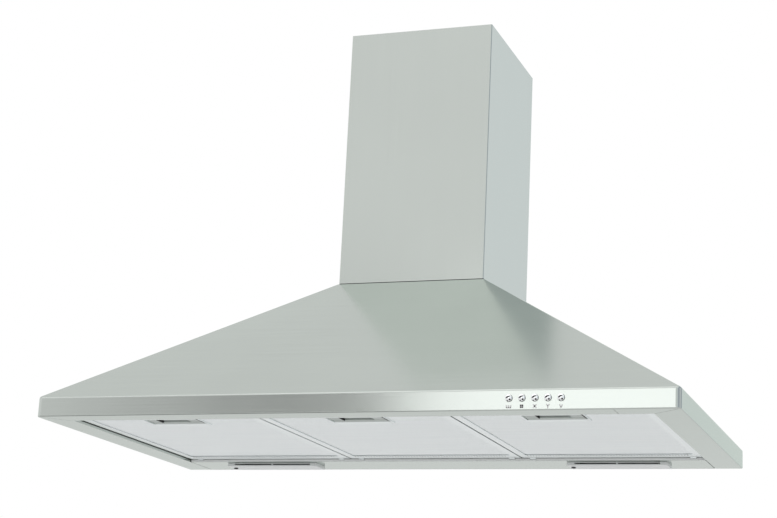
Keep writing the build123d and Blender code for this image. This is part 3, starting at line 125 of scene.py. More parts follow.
# %% [markdown]
# The world is the white studio: white where the camera sees it, and softer where it only lights. Mirrors see
# a little more: the ceiling is slightly grey, and to the right of the hood, where the wall ends, the room is
# greyer and then cooler, which is why the chimney's side looks bluer than its front. Far to the right it is
# dim, and the fascia's rounded corner shows that as a narrow upright stripe.

# %% World
SOFT_LIGHT = 0.72
ROOM_WHITE = (1.0, 1.0, 1.0, 1.0)
ROOM_RIGHT = {
    0.05: (1.0, 1.0, 1.0, 1.0),
    0.16: (0.74, 0.80, 0.76, 1.0),
    0.265: (0.85, 0.90, 0.935, 1.0),
    0.31: (0.95, 0.99, 1.0, 1.0),
    0.50: (0.97, 0.99, 1.0, 1.0),
    0.62: (0.50, 0.54, 0.60, 1.0),
    0.93: (0.50, 0.54, 0.60, 1.0),
    1.0: (1.0, 1.0, 1.0, 1.0),
}
CEILING_FROM = 0.50
CEILING_TO = 0.75
CEILING_GREY = 0.92

world = bpy.data.worlds.new("white_studio")
world.use_nodes = True
scene.world = world
air = world.node_tree
air.nodes.clear()
direction = add(air, "ShaderNodeTexCoord", {})
sides = add(air, "ShaderNodeSeparateXYZ", {"Vector": direction.outputs["Generated"]})
room = add(air, "ShaderNodeValToRGB", {"Fac": sides.outputs["X"]})
stops = room.color_ramp.elements
while len(stops) < len(ROOM_RIGHT):
    stops.new(1.0)
for stop, (place, colour) in zip(stops, ROOM_RIGHT.items()):
    stop.position = place
    stop.color = colour
ceiling = add(air, "ShaderNodeMapRange", {
    "Value": sides.outputs["Z"], "From Min": CEILING_FROM, "From Max": CEILING_TO,
    "To Min": 1.0, "To Max": CEILING_GREY,
})
backdrop = add(air, "ShaderNodeBackground", {"Color": ROOM_WHITE})
mirrored = add(air, "ShaderNodeBackground", {
    "Color": room.outputs["Color"], "Strength": ceiling.outputs["Result"],
})
lighting = add(air, "ShaderNodeBackground", {"Color": ROOM_WHITE, "Strength": SOFT_LIGHT})
camera_ray = add(air, "ShaderNodeLightPath", {})
seen = add(air, "ShaderNodeMixShader", {
    "Fac": camera_ray.outputs["Is Camera Ray"], 1: mirrored.outputs[0], 2: backdrop.outputs[0],
})
whole = add(air, "ShaderNodeMixShader", {
    "Fac": seen_plainly(air), 1: lighting.outputs[0], 2: seen.outputs[0],
})
add(air, "ShaderNodeOutputWorld", {"Surface": whole.outputs[0]})
print("world has", len(air.nodes), "nodes")

# %% [markdown]
# The floor lies well below, because the hood hangs at head height. It is pale, keeps the hood's shadow, and
# glows a little where a mirror sees it, so that the underside doesn't turn dark.

# %% Floor
FLOOR_HALF = 34.0
FLOOR_HEIGHT = -4.0
FLOOR_COLOUR = (0.86, 0.86, 0.86, 1.0)
FLOOR_GLOW = 0.42


def flat_sheet(name, corners):
    mesh = bpy.data.meshes.new(name)
    mesh.from_pydata(corners, [], [range(len(corners))])
    sheet = bpy.data.objects.new(name, mesh)
    scene.collection.objects.link(sheet)
    return sheet


floor = flat_sheet("floor", [
    (x * FLOOR_HALF, y * FLOOR_HALF, FLOOR_HEIGHT) for x, y in ((-1, -1), (1, -1), (1, 1), (-1, 1))
])
floor_paint = bpy.data.materials.new("floor_paint")
floor_paint.use_nodes = True
paint = floor_paint.node_tree
paint.nodes.clear()
amount = add(paint, "ShaderNodeMath", {0: seen_plainly(paint), 1: FLOOR_GLOW}, operation="MULTIPLY")
matt = add(paint, "ShaderNodeBsdfDiffuse", {"Color": FLOOR_COLOUR})
glow = add(paint, "ShaderNodeEmission", {"Color": ROOM_WHITE})
mixed = add(paint, "ShaderNodeMixShader", {
    "Fac": amount.outputs["Value"], 1: matt.outputs[0], 2: glow.outputs[0],
})
add(paint, "ShaderNodeOutputMaterial", {"Surface": mixed.outputs[0]})
floor.data.materials.append(floor_paint)
print("floor at", FLOOR_HEIGHT)

# %% [markdown]
# The fascia is a flat upright mirror, dark on its left half and bright on its right. That is the studio seen
# in it: a softbox beside the camera, and a grey flag next to the softbox that fades out to the left. Both are
# placed where the fascia reflects them, and neither shows in the picture itself. A second softbox overhead
# lights the chimney's front as the pyramid sees it.

# %% Softboxes
SOFTBOX_PLACE = Vector((-0.42, -3.6, 0.60))
SOFTBOX_SIZE = (1.30, 0.60)
SOFTBOX_BRIGHTNESS = 0.87
OVERHEAD_PLACE = Vector((-0.7, -1.3, 3.0))
OVERHEAD_TARGET = Vector((0.0, -0.3, 0.2))
OVERHEAD_SIZE = (1.8, 1.4)
OVERHEAD_BRIGHTNESS = 0.40


def softbox(name, place, size, brightness, towards):
    """Rectangular area light that adds its brightness to the white room's, which is 1."""
    light = bpy.data.lights.new(name, "AREA")
    light.shape = "RECTANGLE"
    light.size, light.size_y = size
    light.energy = brightness * math.pi * size[0] * size[1]
    lamp = bpy.data.objects.new(name, light)
    lamp.location = place
    lamp.rotation_euler = (towards - place).to_track_quat("-Z", "Y").to_euler()
    lamp.visible_camera = False
    scene.collection.objects.link(lamp)


straight_ahead = SOFTBOX_PLACE + Vector((0.0, 1.0, 0.0))
softbox("softbox_front", SOFTBOX_PLACE, SOFTBOX_SIZE, SOFTBOX_BRIGHTNESS, straight_ahead)
softbox("softbox_overhead", OVERHEAD_PLACE, OVERHEAD_SIZE, OVERHEAD_BRIGHTNESS, OVERHEAD_TARGET)
print("softboxes of", SOFTBOX_SIZE, "and", OVERHEAD_SIZE, "metres")

# %% [markdown]
# A flag is a plain sheet that only mirrors see. The grey one hangs in two lengths, and each fades from a tone
# at its left end to another at its right. A dark cloth, laid level and low in front, draws the line along the
# fascia's lower bend, and a bright strip high in front draws the one along its upper bend.

# %% Flags
FLAG_LEFT, FLAG_MIDDLE, FLAG_RIGHT = -2.50, -1.60, -1.00
FLAG_TONES = (0.98, 0.52, 0.35)
FLAG_Y = -3.6
FLAG_LOW, FLAG_HIGH = 0.28, 0.93
CLOTH_TONE = 0.12
CLOTH_LEFT, CLOTH_RIGHT = -2.0, -0.6
CLOTH_FRONT, CLOTH_REAR = -3.2, -1.1
CLOTH_HEIGHT = -1.6
STRIP_TONE = 1.75
STRIP_LEFT, STRIP_RIGHT = -3.0, 1.6
STRIP_Y = -2.2
STRIP_LOW, STRIP_HIGH = 2.1, 3.4


def flag(name, corners, left_tone, right_tone):
    """Flat sheet, seen by mirrors only, whose tone fades from its left end to its right."""
    x0, x1 = min(x for x, y, z in corners), max(x for x, y, z in corners)
    sheet = flat_sheet(name, corners)
    cloth = bpy.data.materials.new(name)
    cloth.use_nodes = True
    tree = cloth.node_tree
    tree.nodes.clear()
    place = add(tree, "ShaderNodeSeparateXYZ", {
        "Vector": add(tree, "ShaderNodeTexCoord", {}).outputs["Object"],
    })
    tone = add(tree, "ShaderNodeMapRange", {
        "Value": place.outputs["X"], "From Min": x0, "From Max": x1,
        "To Min": left_tone, "To Max": right_tone,
    })
    shine = add(tree, "ShaderNodeEmission", {"Color": ROOM_WHITE, "Strength": tone.outputs["Result"]})
    add(tree, "ShaderNodeOutputMaterial", {"Surface": shine.outputs[0]})
    sheet.data.materials.append(cloth)
    sheet.visible_camera = False
    sheet.visible_diffuse = False
    sheet.visible_shadow = False


def upright_sheet(x0, x1, y, z0, z1):
    return [(x0, y, z0), (x1, y, z0), (x1, y, z1), (x0, y, z1)]


def level_sheet(x0, x1, y0, y1, z):
    return [(x0, y0, z), (x1, y0, z), (x1, y1, z), (x0, y1, z)]


far_length = upright_sheet(FLAG_LEFT, FLAG_MIDDLE, FLAG_Y, FLAG_LOW, FLAG_HIGH)
near_length = upright_sheet(FLAG_MIDDLE, FLAG_RIGHT, FLAG_Y, FLAG_LOW, FLAG_HIGH)
cloth = level_sheet(CLOTH_LEFT, CLOTH_RIGHT, CLOTH_FRONT, CLOTH_REAR, CLOTH_HEIGHT)
strip = upright_sheet(STRIP_LEFT, STRIP_RIGHT, STRIP_Y, STRIP_LOW, STRIP_HIGH)
flag("grey_flag_far", far_length, FLAG_TONES[0], FLAG_TONES[1])
flag("grey_flag_near", near_length, FLAG_TONES[1], FLAG_TONES[2])
flag("dark_floor_cloth", cloth, CLOTH_TONE, CLOTH_TONE)
flag("bright_strip", strip, STRIP_TONE, STRIP_TONE)
print("grey flag of two lengths, a dark cloth and a bright strip hung")

# %% [markdown]
# Every finish starts from the Principled shader with three plain numbers, and gets its life from textures on
# Object coordinates: a tint that varies, a roughness that varies, and a relief. Three helpers make those, so
# that each finish below is only a few lines.

# %% Helpers for finishes
def shader_of(material):
    return material.node_tree.nodes["Principled BSDF"]


def new_finish(name, colour, metallic, roughness):
    material = bpy.data.materials.new(name)
    material.use_nodes = True
    inputs = shader_of(material).inputs
    inputs["Base Color"].default_value = (*colour, 1.0)
    inputs["Metallic"].default_value = metallic
    inputs["Roughness"].default_value = roughness
    return material


def placed(material, stretch):
    """Object coordinates in metres, times a stretch along each axis."""
    tree = material.node_tree
    place = add(tree, "ShaderNodeTexCoord", {})
    mapping = add(tree, "ShaderNodeMapping", {"Vector": place.outputs["Object"], "Scale": stretch})
    return mapping.outputs["Vector"]


def noise(material, stretch, detail=2.0):
    node = add(material.node_tree, "ShaderNodeTexNoise", {
        "Vector": placed(material, stretch), "Scale": 1.0, "Detail": detail,
    })
    return node.outputs["Fac"]


def tint(material, pattern, dark, light):
    ramp = add(material.node_tree, "ShaderNodeValToRGB", {"Fac": pattern})
    ramp.color_ramp.elements[0].color = (*dark, 1.0)
    ramp.color_ramp.elements[1].color = (*light, 1.0)
    material.node_tree.links.new(ramp.outputs["Color"], shader_of(material).inputs["Base Color"])


def roughen(material, pattern, smooth, rough):
    spread = add(material.node_tree, "ShaderNodeMapRange", {
        "Value": pattern, "To Min": smooth, "To Max": rough,
    })
    material.node_tree.links.new(spread.outputs["Result"], shader_of(material).inputs["Roughness"])


def relief(material, pattern, strength, depth):
    bump = add(material.node_tree, "ShaderNodeBump", {
        "Height": pattern, "Strength": strength, "Distance": depth,
    })
    material.node_tree.links.new(bump.outputs["Normal"], shader_of(material).inputs["Normal"])


def shades(colour, amount):
    """The colour a little darker and a little lighter."""
    return [[c * (1.0 + s * amount) for c in colour] for s in (-1, 1)]


print("finish helpers ready")

# %% [markdown]
# Brushed stainless steel is scratched by a belt that runs one way, so its grain is noise pulled out along one
# axis: slow along the belt and very fast across it. On the canopy the belt ran along each sheet, across the
# front and along the sides, so the finish turns the grain where a face looks sideways. A slow cloudy noise
# on top stands for the uneven polish of a hand-finished pyramid.

# %% Brushed steel
STEEL = (0.532, 0.566, 0.539)
STEEL_GRAZING = (0.93, 0.96, 0.94, 1.0)
STEEL_SMOOTH = 0.12
STEEL_ROUGH = 0.23
GRAIN_ALONG = 5.0
GRAIN_ACROSS = 700.0
GRAIN_DETAIL = 3.0
GRAIN_DEPTH = 0.0003
CLOUDS = 5.0


def brushed_steel(name, along, contrast, turn_on_sides=False):
    """Stainless sheet whose grain runs along the axis of that index."""
    material = new_finish(name, STEEL, 1.0, STEEL_ROUGH)
    tree = material.node_tree
    stretch = [GRAIN_ACROSS] * 3
    stretch[along] = GRAIN_ALONG
    grain = noise(material, stretch, GRAIN_DETAIL)
    if turn_on_sides:
        shader_of(material).inputs["Specular Tint"].default_value = STEEL_GRAZING
        face = add(tree, "ShaderNodeSeparateXYZ", {
            "Vector": add(tree, "ShaderNodeTexCoord", {}).outputs["Normal"],
        })
        sideways = add(tree, "ShaderNodeMath", {0: face.outputs["X"]}, operation="ABSOLUTE")
        forwards = add(tree, "ShaderNodeMath", {0: face.outputs["Y"]}, operation="ABSOLUTE")
        on_side = add(tree, "ShaderNodeMath", {
            0: sideways.outputs[0], 1: forwards.outputs[0],
        }, operation="GREATER_THAN")
        side_grain = noise(material, (GRAIN_ACROSS, GRAIN_ALONG, GRAIN_ACROSS), GRAIN_DETAIL)
        chosen = add(tree, "ShaderNodeMix", {0: on_side.outputs[0], 2: grain, 3: side_grain})
        grain = chosen.outputs[0]
    clouds = noise(material, (CLOUDS, CLOUDS, CLOUDS), GRAIN_DETAIL)
    finish = add(tree, "ShaderNodeMath", {0: grain, 1: clouds}, operation="ADD")
    halved = add(tree, "ShaderNodeMath", {0: finish.outputs[0], 1: 0.5}, operation="MULTIPLY")
    tint(material, halved.outputs[0], *shades(STEEL, contrast))
    roughen(material, halved.outputs[0], STEEL_SMOOTH, STEEL_ROUGH)
    relief(material, grain, contrast, GRAIN_DEPTH)
    return material


canopy_steel = brushed_steel("brushed_canopy_steel", along=0, contrast=0.10, turn_on_sides=True)
chimney_steel = brushed_steel("brushed_chimney_steel", along=2, contrast=0.05)
print("steel finishes", canopy_steel.name, chimney_steel.name)

# %% [markdown]
# Galvanised sheet hides behind the canopy. Its zinc freezes in large flat crystals, the spangle, and a
# Voronoi texture draws just such cells: each gets its own grey and its own gloss.

# %% Galvanised sheet
ZINC = (0.50, 0.52, 0.53)
ZINC_METALLIC = 0.9
ZINC_ROUGHNESS = 0.42
ZINC_SMOOTHEST, ZINC_ROUGHEST = 0.32, 0.55
SPANGLE = 95.0
SPANGLE_CONTRAST = 0.16
SPANGLE_RELIEF = 0.08
SPANGLE_DEPTH = 0.0003


def galvanised_sheet(name):
    material = new_finish(name, ZINC, ZINC_METALLIC, ZINC_ROUGHNESS)
    cells = add(material.node_tree, "ShaderNodeTexVoronoi", {
        "Vector": placed(material, (SPANGLE, SPANGLE, SPANGLE)), "Scale": 1.0,
    })
    flake = add(material.node_tree, "ShaderNodeSeparateColor", {"Color": cells.outputs["Color"]})
    tint(material, flake.outputs[0], *shades(ZINC, SPANGLE_CONTRAST))
    roughen(material, flake.outputs[1], ZINC_SMOOTHEST, ZINC_ROUGHEST)
    relief(material, cells.outputs["Distance"], SPANGLE_RELIEF, SPANGLE_DEPTH)
    return material


zinc_sheet = galvanised_sheet("galvanised_zinc")
print("zinc finish", zinc_sheet.name)

# %% [markdown]
# The filters are thin rolled aluminium, paler than the steel. Rolling leaves faint straight streaks, so it is
# the steel's recipe again with a softer contrast. The mesh is the same metal, a little brighter and smoother.

# %% Aluminium
FRAME_COLOUR = (0.91, 0.95, 0.95)
MESH_COLOUR = (0.945, 0.985, 0.99)
ROLLED_ALONG = 8.0
ROLLED_ACROSS = 420.0
ROLLED_CONTRAST = 0.08
ROLLED_RELIEF = 0.06
ROLLED_DEPTH = 0.0003


def rolled_aluminium(name, colour, smooth, rough):
    material = new_finish(name, colour, 1.0, smooth)
    streaks = noise(material, (ROLLED_ALONG, ROLLED_ACROSS, ROLLED_ACROSS))
    tint(material, streaks, *shades(colour, ROLLED_CONTRAST))
    roughen(material, streaks, smooth, rough)
    relief(material, streaks, ROLLED_RELIEF, ROLLED_DEPTH)
    return material


frame_aluminium = rolled_aluminium("filter_frame_aluminium", FRAME_COLOUR, smooth=0.30, rough=0.46)
mesh_aluminium = rolled_aluminium("filter_mesh_aluminium", MESH_COLOUR, smooth=0.28, rough=0.42)
print("aluminium finishes", frame_aluminium.name, mesh_aluminium.name)

# %% [markdown]
# Moulded plastic is never quite smooth: the mould leaves a fine even grain. One function serves the black
# blower, the white lampholders, the grey latches, the rubber leads and the marks, and also the dark and pale
# colours below that are painted shade and painted light, with colour, gloss and grain given.

# %% Plastics and rubber
MOULD_CONTRAST = 0.10
MOULD_RELIEF = 0.15
MOULD_DEPTH = 0.0002


def moulded(name, colour, smooth, rough, grain):
    material = new_finish(name, colour, 0.0, smooth)
    pits = noise(material, (grain, grain, grain))
    tint(material, pits, *shades(colour, MOULD_CONTRAST))
    roughen(material, pits, smooth, rough)
    relief(material, pits, MOULD_RELIEF, MOULD_DEPTH)
    return material


black_plastic = moulded(
    "black_blower_plastic", (0.022, 0.022, 0.024), smooth=0.42, rough=0.60, grain=900.0,
)
white_plastic = moulded(
    "white_fitting_plastic", (0.74, 0.74, 0.71), smooth=0.38, rough=0.52, grain=700.0,
)
latch_plastic = moulded(
    "grey_latch_plastic", (0.52, 0.565, 0.54), smooth=0.36, rough=0.50, grain=1100.0,
)
# painted shade: this dark rubber stands for the shade in the chimney's base joint, in the latch recesses and
# in the lamp strip's joints
painted_shade_rubber = moulded(
    "dark_painted_shade_rubber", (0.012, 0.012, 0.013), smooth=0.70, rough=0.85, grain=1500.0,
)
# painted light: the trim's pale tone lifts the shade on the lip's face
lip_trim_painted_light = moulded(
    "pale_lip_trim_painted_light", (0.90, 0.92, 0.91), smooth=0.45, rough=0.60, grain=900.0,
)
lead_rubber = moulded(
    "grey_lead_rubber", (0.11, 0.11, 0.115), smooth=0.55, rough=0.70, grain=1200.0,
)
# the same dark ink prints the marks under the buttons and is painted reflection on the chrome caps
print_and_painted_reflection_ink = moulded(
    "dark_print_and_painted_reflection_ink", (0.02, 0.021, 0.022), smooth=0.50, rough=0.60, grain=2000.0,
)
# painted shade: the drain slots are flat dark discs standing for the shade inside the openings
drain_slot_painted_shade = moulded(
    "painted_shade_drain_slot", (0.10, 0.11, 0.11), smooth=0.60, rough=0.75, grain=1500.0,
)
print("moulded finishes ready")

# %% [markdown]
# Small metal things come last: chrome caps, plated and blackened screws, painted motor steel and sintered
# bronze. Each has its own colour, and a fine noise that breaks up its gloss.

# %% Small metals
PLATED_CONTRAST = 0.06
PLATED_DETAIL = 3.0


def plated(name, colour, metallic, smooth, rough, grain):
    material = new_finish(name, colour, metallic, smooth)
    specks = noise(material, (grain, grain, grain), PLATED_DETAIL)
    tint(material, specks, *shades(colour, PLATED_CONTRAST))
    roughen(material, specks, smooth, rough)
    return material


chrome = plated(
    "chrome_button_cap", (0.92, 0.93, 0.94), metallic=1.0, smooth=0.04, rough=0.09, grain=400.0,
)
plated_screw = plated(
    "plated_screw_steel", (0.58, 0.58, 0.55), metallic=1.0, smooth=0.22, rough=0.36, grain=900.0,
)
dark_screw = plated(
    "blackened_screw_steel", (0.02, 0.02, 0.021), metallic=0.6, smooth=0.35, rough=0.50, grain=900.0,
)
motor_paint = plated(
    "painted_motor_steel", (0.17, 0.18, 0.19), metallic=0.5, smooth=0.42, rough=0.58, grain=600.0,
)
bronze = plated(
    "sintered_bronze", (0.52, 0.37, 0.18), metallic=1.0, smooth=0.38, rough=0.55, grain=1500.0,
)
print("small metals ready")

# %% [markdown]
# The lamp covers are frosted: light goes in and comes out scattered. Some transmission with a high roughness
# gives that, and a fine relief stands for the etched surface. The bulbs are opal glass, nearly white.

# %% Frosted covers and opal bulbs
ETCHING = 1400.0
ETCHING_DETAIL = 1.0
ETCHING_RELIEF = 0.10
ETCHING_DEPTH = 0.0002
FROST_CLOUDS = 30.0
FROST_CONTRAST = 0.04


def frosted(name, colour, through, roughness):
    material = new_finish(name, colour, 0.0, roughness)
    shader_of(material).inputs["Transmission Weight"].default_value = through
    etching = noise(material, (ETCHING, ETCHING, ETCHING), ETCHING_DETAIL)
    clouds = noise(material, (FROST_CLOUDS, FROST_CLOUDS, FROST_CLOUDS))
    tint(material, clouds, *shades(colour, FROST_CONTRAST))
    relief(material, etching, ETCHING_RELIEF, ETCHING_DEPTH)
    return material


cover_frost = frosted("frosted_lamp_cover", (0.93, 0.96, 0.955), through=0.10, roughness=0.42)
opal_glass = frosted("opal_bulb_glass", (0.90, 0.90, 0.87), through=0.15, roughness=0.20)
print("frosted finishes ready")

# %% [markdown]
# Now each CAD part gets its finish. A part keeps its shape, so only its material slot changes. The table
# lists finishes against parts, and a check at the end makes sure that none was left bare.

# %% Finishes on the CAD parts
FILTERS = (1, 2, 3)
SIDES = ("left", "right")
BUTTONS = (1, 2, 3, 4, 5)
finished = {
    canopy_steel: ["canopy_shell", "lamp_panel"],
    chimney_steel: ["chimney_lower", "chimney_upper"],
    zinc_sheet: ["back_panel", "deck_plate", "upper_bracket", "impeller", "switch_bracket"]
    + [f"lamp_tray_{s}" for s in SIDES],
    frame_aluminium: [f"filter_frame_{i}" for i in FILTERS],
    mesh_aluminium: [f"filter_mesh_{i}" for i in FILTERS],
    latch_plastic: [f"filter_latch_{i}" for i in FILTERS],
    chrome: [f"button_{i}" for i in BUTTONS],
    cover_frost: [f"lamp_cover_{s}" for s in SIDES],
    dark_screw: [f"cover_screw_{s}" for s in SIDES],
    opal_glass: [f"bulb_{s}" for s in SIDES],
    # painted shade: chimney_seal is dark rubber standing for the shadow gap at the chimney's base
    painted_shade_rubber: ["chimney_seal"],
    black_plastic: [
        "scroll_housing", "inlet_plate", "inlet_guard", "outlet_collar", "flap_front", "flap_rear",
        "cable_gland", "switch_body",
    ],
    white_plastic: ["capacitor", "terminal_box", "terminal_box_lid", "terminal_block"]
    + [f"lampholder_{s}" for s in SIDES],
    motor_paint: ["motor_casing", "motor_end_cap", "motor_stator", "motor_rotor"],
    bronze: ["motor_bearings"],
    plated_screw: ["body_screws", "blower_screws", "bracket_screws", "flap_pin"],
    lead_rubber: ["motor_lead", "switch_lead", "lamp_leads"],
}
for material, names in finished.items():
    for name in names:
        parts[name].data.materials.clear()
        parts[name].data.materials.append(material)
bare = set(parts) - {name for names in finished.values() for name in names}
print("finished", len(parts) - len(bare), "parts, bare:", sorted(bare))

# %% [markdown]
# What repeats is made with Geometry Nodes. A tree has named sizes, and one helper runs it: it hangs the tree
# on an empty carrier, sets the sizes by their socket identifiers, and keeps the result as a plain mesh.

# %% Helpers for Geometry Nodes
def new_tree(name, sizes):
    """Geometry tree with the given inputs, and its input and output nodes."""
    tree = bpy.data.node_groups.new(name, "GeometryNodeTree")
    tree.interface.new_socket("Geometry", in_out="OUTPUT", socket_type="NodeSocketGeometry")
    for label, kind in sizes.items():
        tree.interface.new_socket(label, in_out="INPUT", socket_type="NodeSocket" + kind)
    return tree, add(tree, "NodeGroupInput", {})


def end_tree(tree, geometry, material):
    """Makes the instances real and gives them their finish."""
    real = add(tree, "GeometryNodeRealizeInstances", {"Geometry": geometry})
    dressed = add(tree, "GeometryNodeSetMaterial", {"Geometry": real.outputs[0], "Material": material})
    add(tree, "NodeGroupOutput", {"Geometry": dressed.outputs[0]})


def grown(tree, sizes):
    """Plain mesh that the tree makes with these sizes."""
    carrier = bpy.data.objects.new(tree.name, bpy.data.meshes.new(tree.name))
    scene.collection.objects.link(carrier)
    modifier = carrier.modifiers.new(tree.name, "NODES")
    modifier.node_group = tree
    for socket in tree.interface.items_tree:
        if socket.in_out == "INPUT":
            modifier[socket.identifier] = sizes[socket.name]
    evaluated = carrier.evaluated_get(bpy.context.evaluated_depsgraph_get())
    mesh = bpy.data.meshes.new_from_object(evaluated)
    bpy.data.objects.remove(carrier)
    return mesh


def piece(name, mesh, body):
    """Object for a finished mesh, riding on its body."""
    mesh.name = name
    made = bpy.data.objects.new(name, mesh)
    scene.collection.objects.link(made)
    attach(made, body)
    return made


print("geometry helpers ready")

# %% [markdown]
# A grease filter is filled with expanded mesh: a sheet is slit and pulled until the slits open as diamonds.
# Seen as wires, that is a stack of zigzag lines, each the mirror of the one before, which touch at their
# corners. So the tree bends one line to a zigzag, repeats it row by row with every second row flipped, and
# gives all rows a flat ribbon section. Pulling twists each strand, so the ribbons lean, and from the front
# they catch the light like the slats of a blind.

# %% Expanded mesh tree
mesh_tree, given = new_tree("expanded_mesh", {
    "Width": "Float", "Points": "Int", "Rows": "Int", "Row Step": "Float", "Strand Width": "Float",
    "Strand Thickness": "Float", "Strand Tilt": "Float", "Pocket Left": "Float", "Pocket Right": "Float",
    "Pocket Rear": "Float", "Place": "Vector", "Material": "Material",
})
size = given.outputs
number = add(mesh_tree, "GeometryNodeInputIndex", {})
odd = add(mesh_tree, "ShaderNodeMath", {0: number.outputs[0], 1: 2.0}, operation="MODULO")
rise = add(mesh_tree, "ShaderNodeMath", {0: odd.outputs[0], 1: size["Row Step"]}, operation="MULTIPLY")
offset = add(mesh_tree, "ShaderNodeCombineXYZ", {"Y": rise.outputs[0]})
line_end = add(mesh_tree, "ShaderNodeCombineXYZ", {"X": size["Width"]})
line = add(mesh_tree, "GeometryNodeCurvePrimitiveLine", {"End": line_end.outputs[0]})
divided = add(mesh_tree, "GeometryNodeResampleCurve", {"Curve": line.outputs[0], "Count": size["Points"]})
zigzag = add(mesh_tree, "GeometryNodeSetPosition", {
    "Geometry": divided.outputs[0], "Offset": offset.outputs[0],
})
row_step = add(mesh_tree, "ShaderNodeCombineXYZ", {"Y": size["Row Step"]})
rows = add(mesh_tree, "GeometryNodeMeshLine", {"Count": size["Rows"], "Offset": row_step.outputs[0]})
shifted = add(mesh_tree, "GeometryNodeSetPosition", {
    "Geometry": rows.outputs[0], "Offset": offset.outputs[0],
})
flip = add(mesh_tree, "ShaderNodeMath", {0: odd.outputs[0], 1: -2.0, 2: 1.0}, operation="MULTIPLY_ADD")
mirror = add(mesh_tree, "ShaderNodeCombineXYZ", {"X": 1.0, "Y": flip.outputs[0], "Z": 1.0})
stack = add(mesh_tree, "GeometryNodeInstanceOnPoints", {
    "Points": shifted.outputs[0], "Instance": zigzag.outputs[0], "Scale": mirror.outputs[0],
})
lines = add(mesh_tree, "GeometryNodeRealizeInstances", {"Geometry": stack.outputs[0]})
level = add(mesh_tree, "GeometryNodeSetCurveNormal", {"Curve": lines.outputs[0]}, mode="Z_UP")
tilted = add(mesh_tree, "GeometryNodeSetCurveTilt", {
    "Curve": level.outputs[0], "Tilt": size["Strand Tilt"],
})
section = add(mesh_tree, "GeometryNodeCurvePrimitiveQuadrilateral", {
    "Width": size["Strand Width"], "Height": size["Strand Thickness"],
})
ribbons = add(mesh_tree, "GeometryNodeCurveToMesh", {
    "Curve": tilted.outputs[0], "Profile Curve": section.outputs[0], "Fill Caps": True,
})
print("mesh tree bends and repeats its lines with", len(mesh_tree.nodes), "nodes")

# %% [markdown]
# The latch's pocket sits in the middle of a filter's front, and no strand may run through it. Three
# comparisons on the position, multiplied together, are true only inside the pocket, and the faces there are
# deleted.

# %% Expanded mesh tree, cut for the latch
spot = add(mesh_tree, "ShaderNodeSeparateXYZ", {
    "Vector": add(mesh_tree, "GeometryNodeInputPosition", {}).outputs[0],
})
tests = [
    ("X", "GREATER_THAN", "Pocket Left"),
    ("X", "LESS_THAN", "Pocket Right"),
    ("Y", "LESS_THAN", "Pocket Rear"),
]
inside = None
for axis, comparison, limit in tests:
    test = add(mesh_tree, "ShaderNodeMath", {0: spot.outputs[axis], 1: size[limit]}, operation=comparison)
    if inside is not None:
        test = add(mesh_tree, "ShaderNodeMath", {0: test.outputs[0], 1: inside}, operation="MULTIPLY")
    inside = test.outputs[0]
cut = add(mesh_tree, "GeometryNodeDeleteGeometry", {
    "Geometry": ribbons.outputs[0], "Selection": inside,
}, domain="FACE")
laid = add(mesh_tree, "GeometryNodeTransform", {"Geometry": cut.outputs[0], "Translation": size["Place"]})
end_tree(mesh_tree, laid.outputs[0], size["Material"])
print("mesh tree has", len(mesh_tree.nodes), "nodes")

# %% [markdown]
# Each filter has a fine mesh on the side that shows, a coarser one on top, and a core sheet between them that
# keeps the pack from looking empty. Their places come from the CAD mesh that they stand for, less the border
# that the frame folds over it, and from the latch, whose pocket they go round.

# %% Filter meshes
SIDE_BORDER = 0.010
FRONT_BORDER = 0.019
REAR_BORDER = 0.023
TUCK = 0.002
POCKET_LEFT_ROOM = 0.002
POCKET_RIGHT_ROOM = 0.0048
POCKET_REAR_ROOM = 0.008
FINE_HALF_CELL = 0.0035
COARSE_HALF_CELL = 0.007
STRAND_SHARE = 0.40
STRAND_THICKNESS = 0.00010
STRAND_TILT = math.radians(-9)
LAYER = 0.0008
CORE_THICKNESS = 0.0004


def mesh_sheet(window, height, half_cell, pocket):
    """Expanded mesh over a window, at a height, with the pocket left free."""
    (x0, y0), (x1, y1) = window
    width = x1 - x0
    row_step = half_cell / 2
    left, right, rear = pocket
    return grown(mesh_tree, {
        "Width": width, "Points": round(width / half_cell) + 1, "Rows": round((y1 - y0) / row_step),
        "Row Step": row_step, "Strand Width": half_cell * STRAND_SHARE,
        "Strand Thickness": STRAND_THICKNESS, "Strand Tilt": STRAND_TILT, "Pocket Left": left - x0,
        "Pocket Right": right - x0, "Pocket Rear": rear - y0, "Place": (x0, y0, height),
        "Material": mesh_aluminium,
    })


def kept_mesh(name, shape, material):
    """Plain mesh with outward faces from a bmesh, which is freed."""
    bmesh.ops.recalc_face_normals(shape, faces=shape.faces)
    mesh = bpy.data.meshes.new(name)
    shape.to_mesh(mesh)
    shape.free()
    mesh.materials.append(material)
    return mesh


def pushed_plate(name, corners, push, material):
    """Flat outline pushed out into a closed plate."""
    shape = bmesh.new()
    face = shape.faces.new([shape.verts.new(corner) for corner in corners])
    moved = bmesh.ops.extrude_face_region(shape, geom=[face])["geom"]
    verts = [v for v in moved if isinstance(v, bmesh.types.BMVert)]
    bmesh.ops.translate(shape, verts=verts, vec=push)
    return kept_mesh(name, shape, material)


def core_sheet(name, window, height, pocket):
    """Thin plate with a notch for the latch's pocket."""
    (x0, y0), (x1, y1) = window
    left, right, rear = pocket
    outline = [
        (x0, y0), (left, y0), (left, rear), (right, rear), (right, y0), (x1, y0), (x1, y1), (x0, y1),
    ]
    corners = [(x, y, height) for x, y in outline]
    return pushed_plate(name, corners, (0.0, 0.0, CORE_THICKNESS), mesh_aluminium)


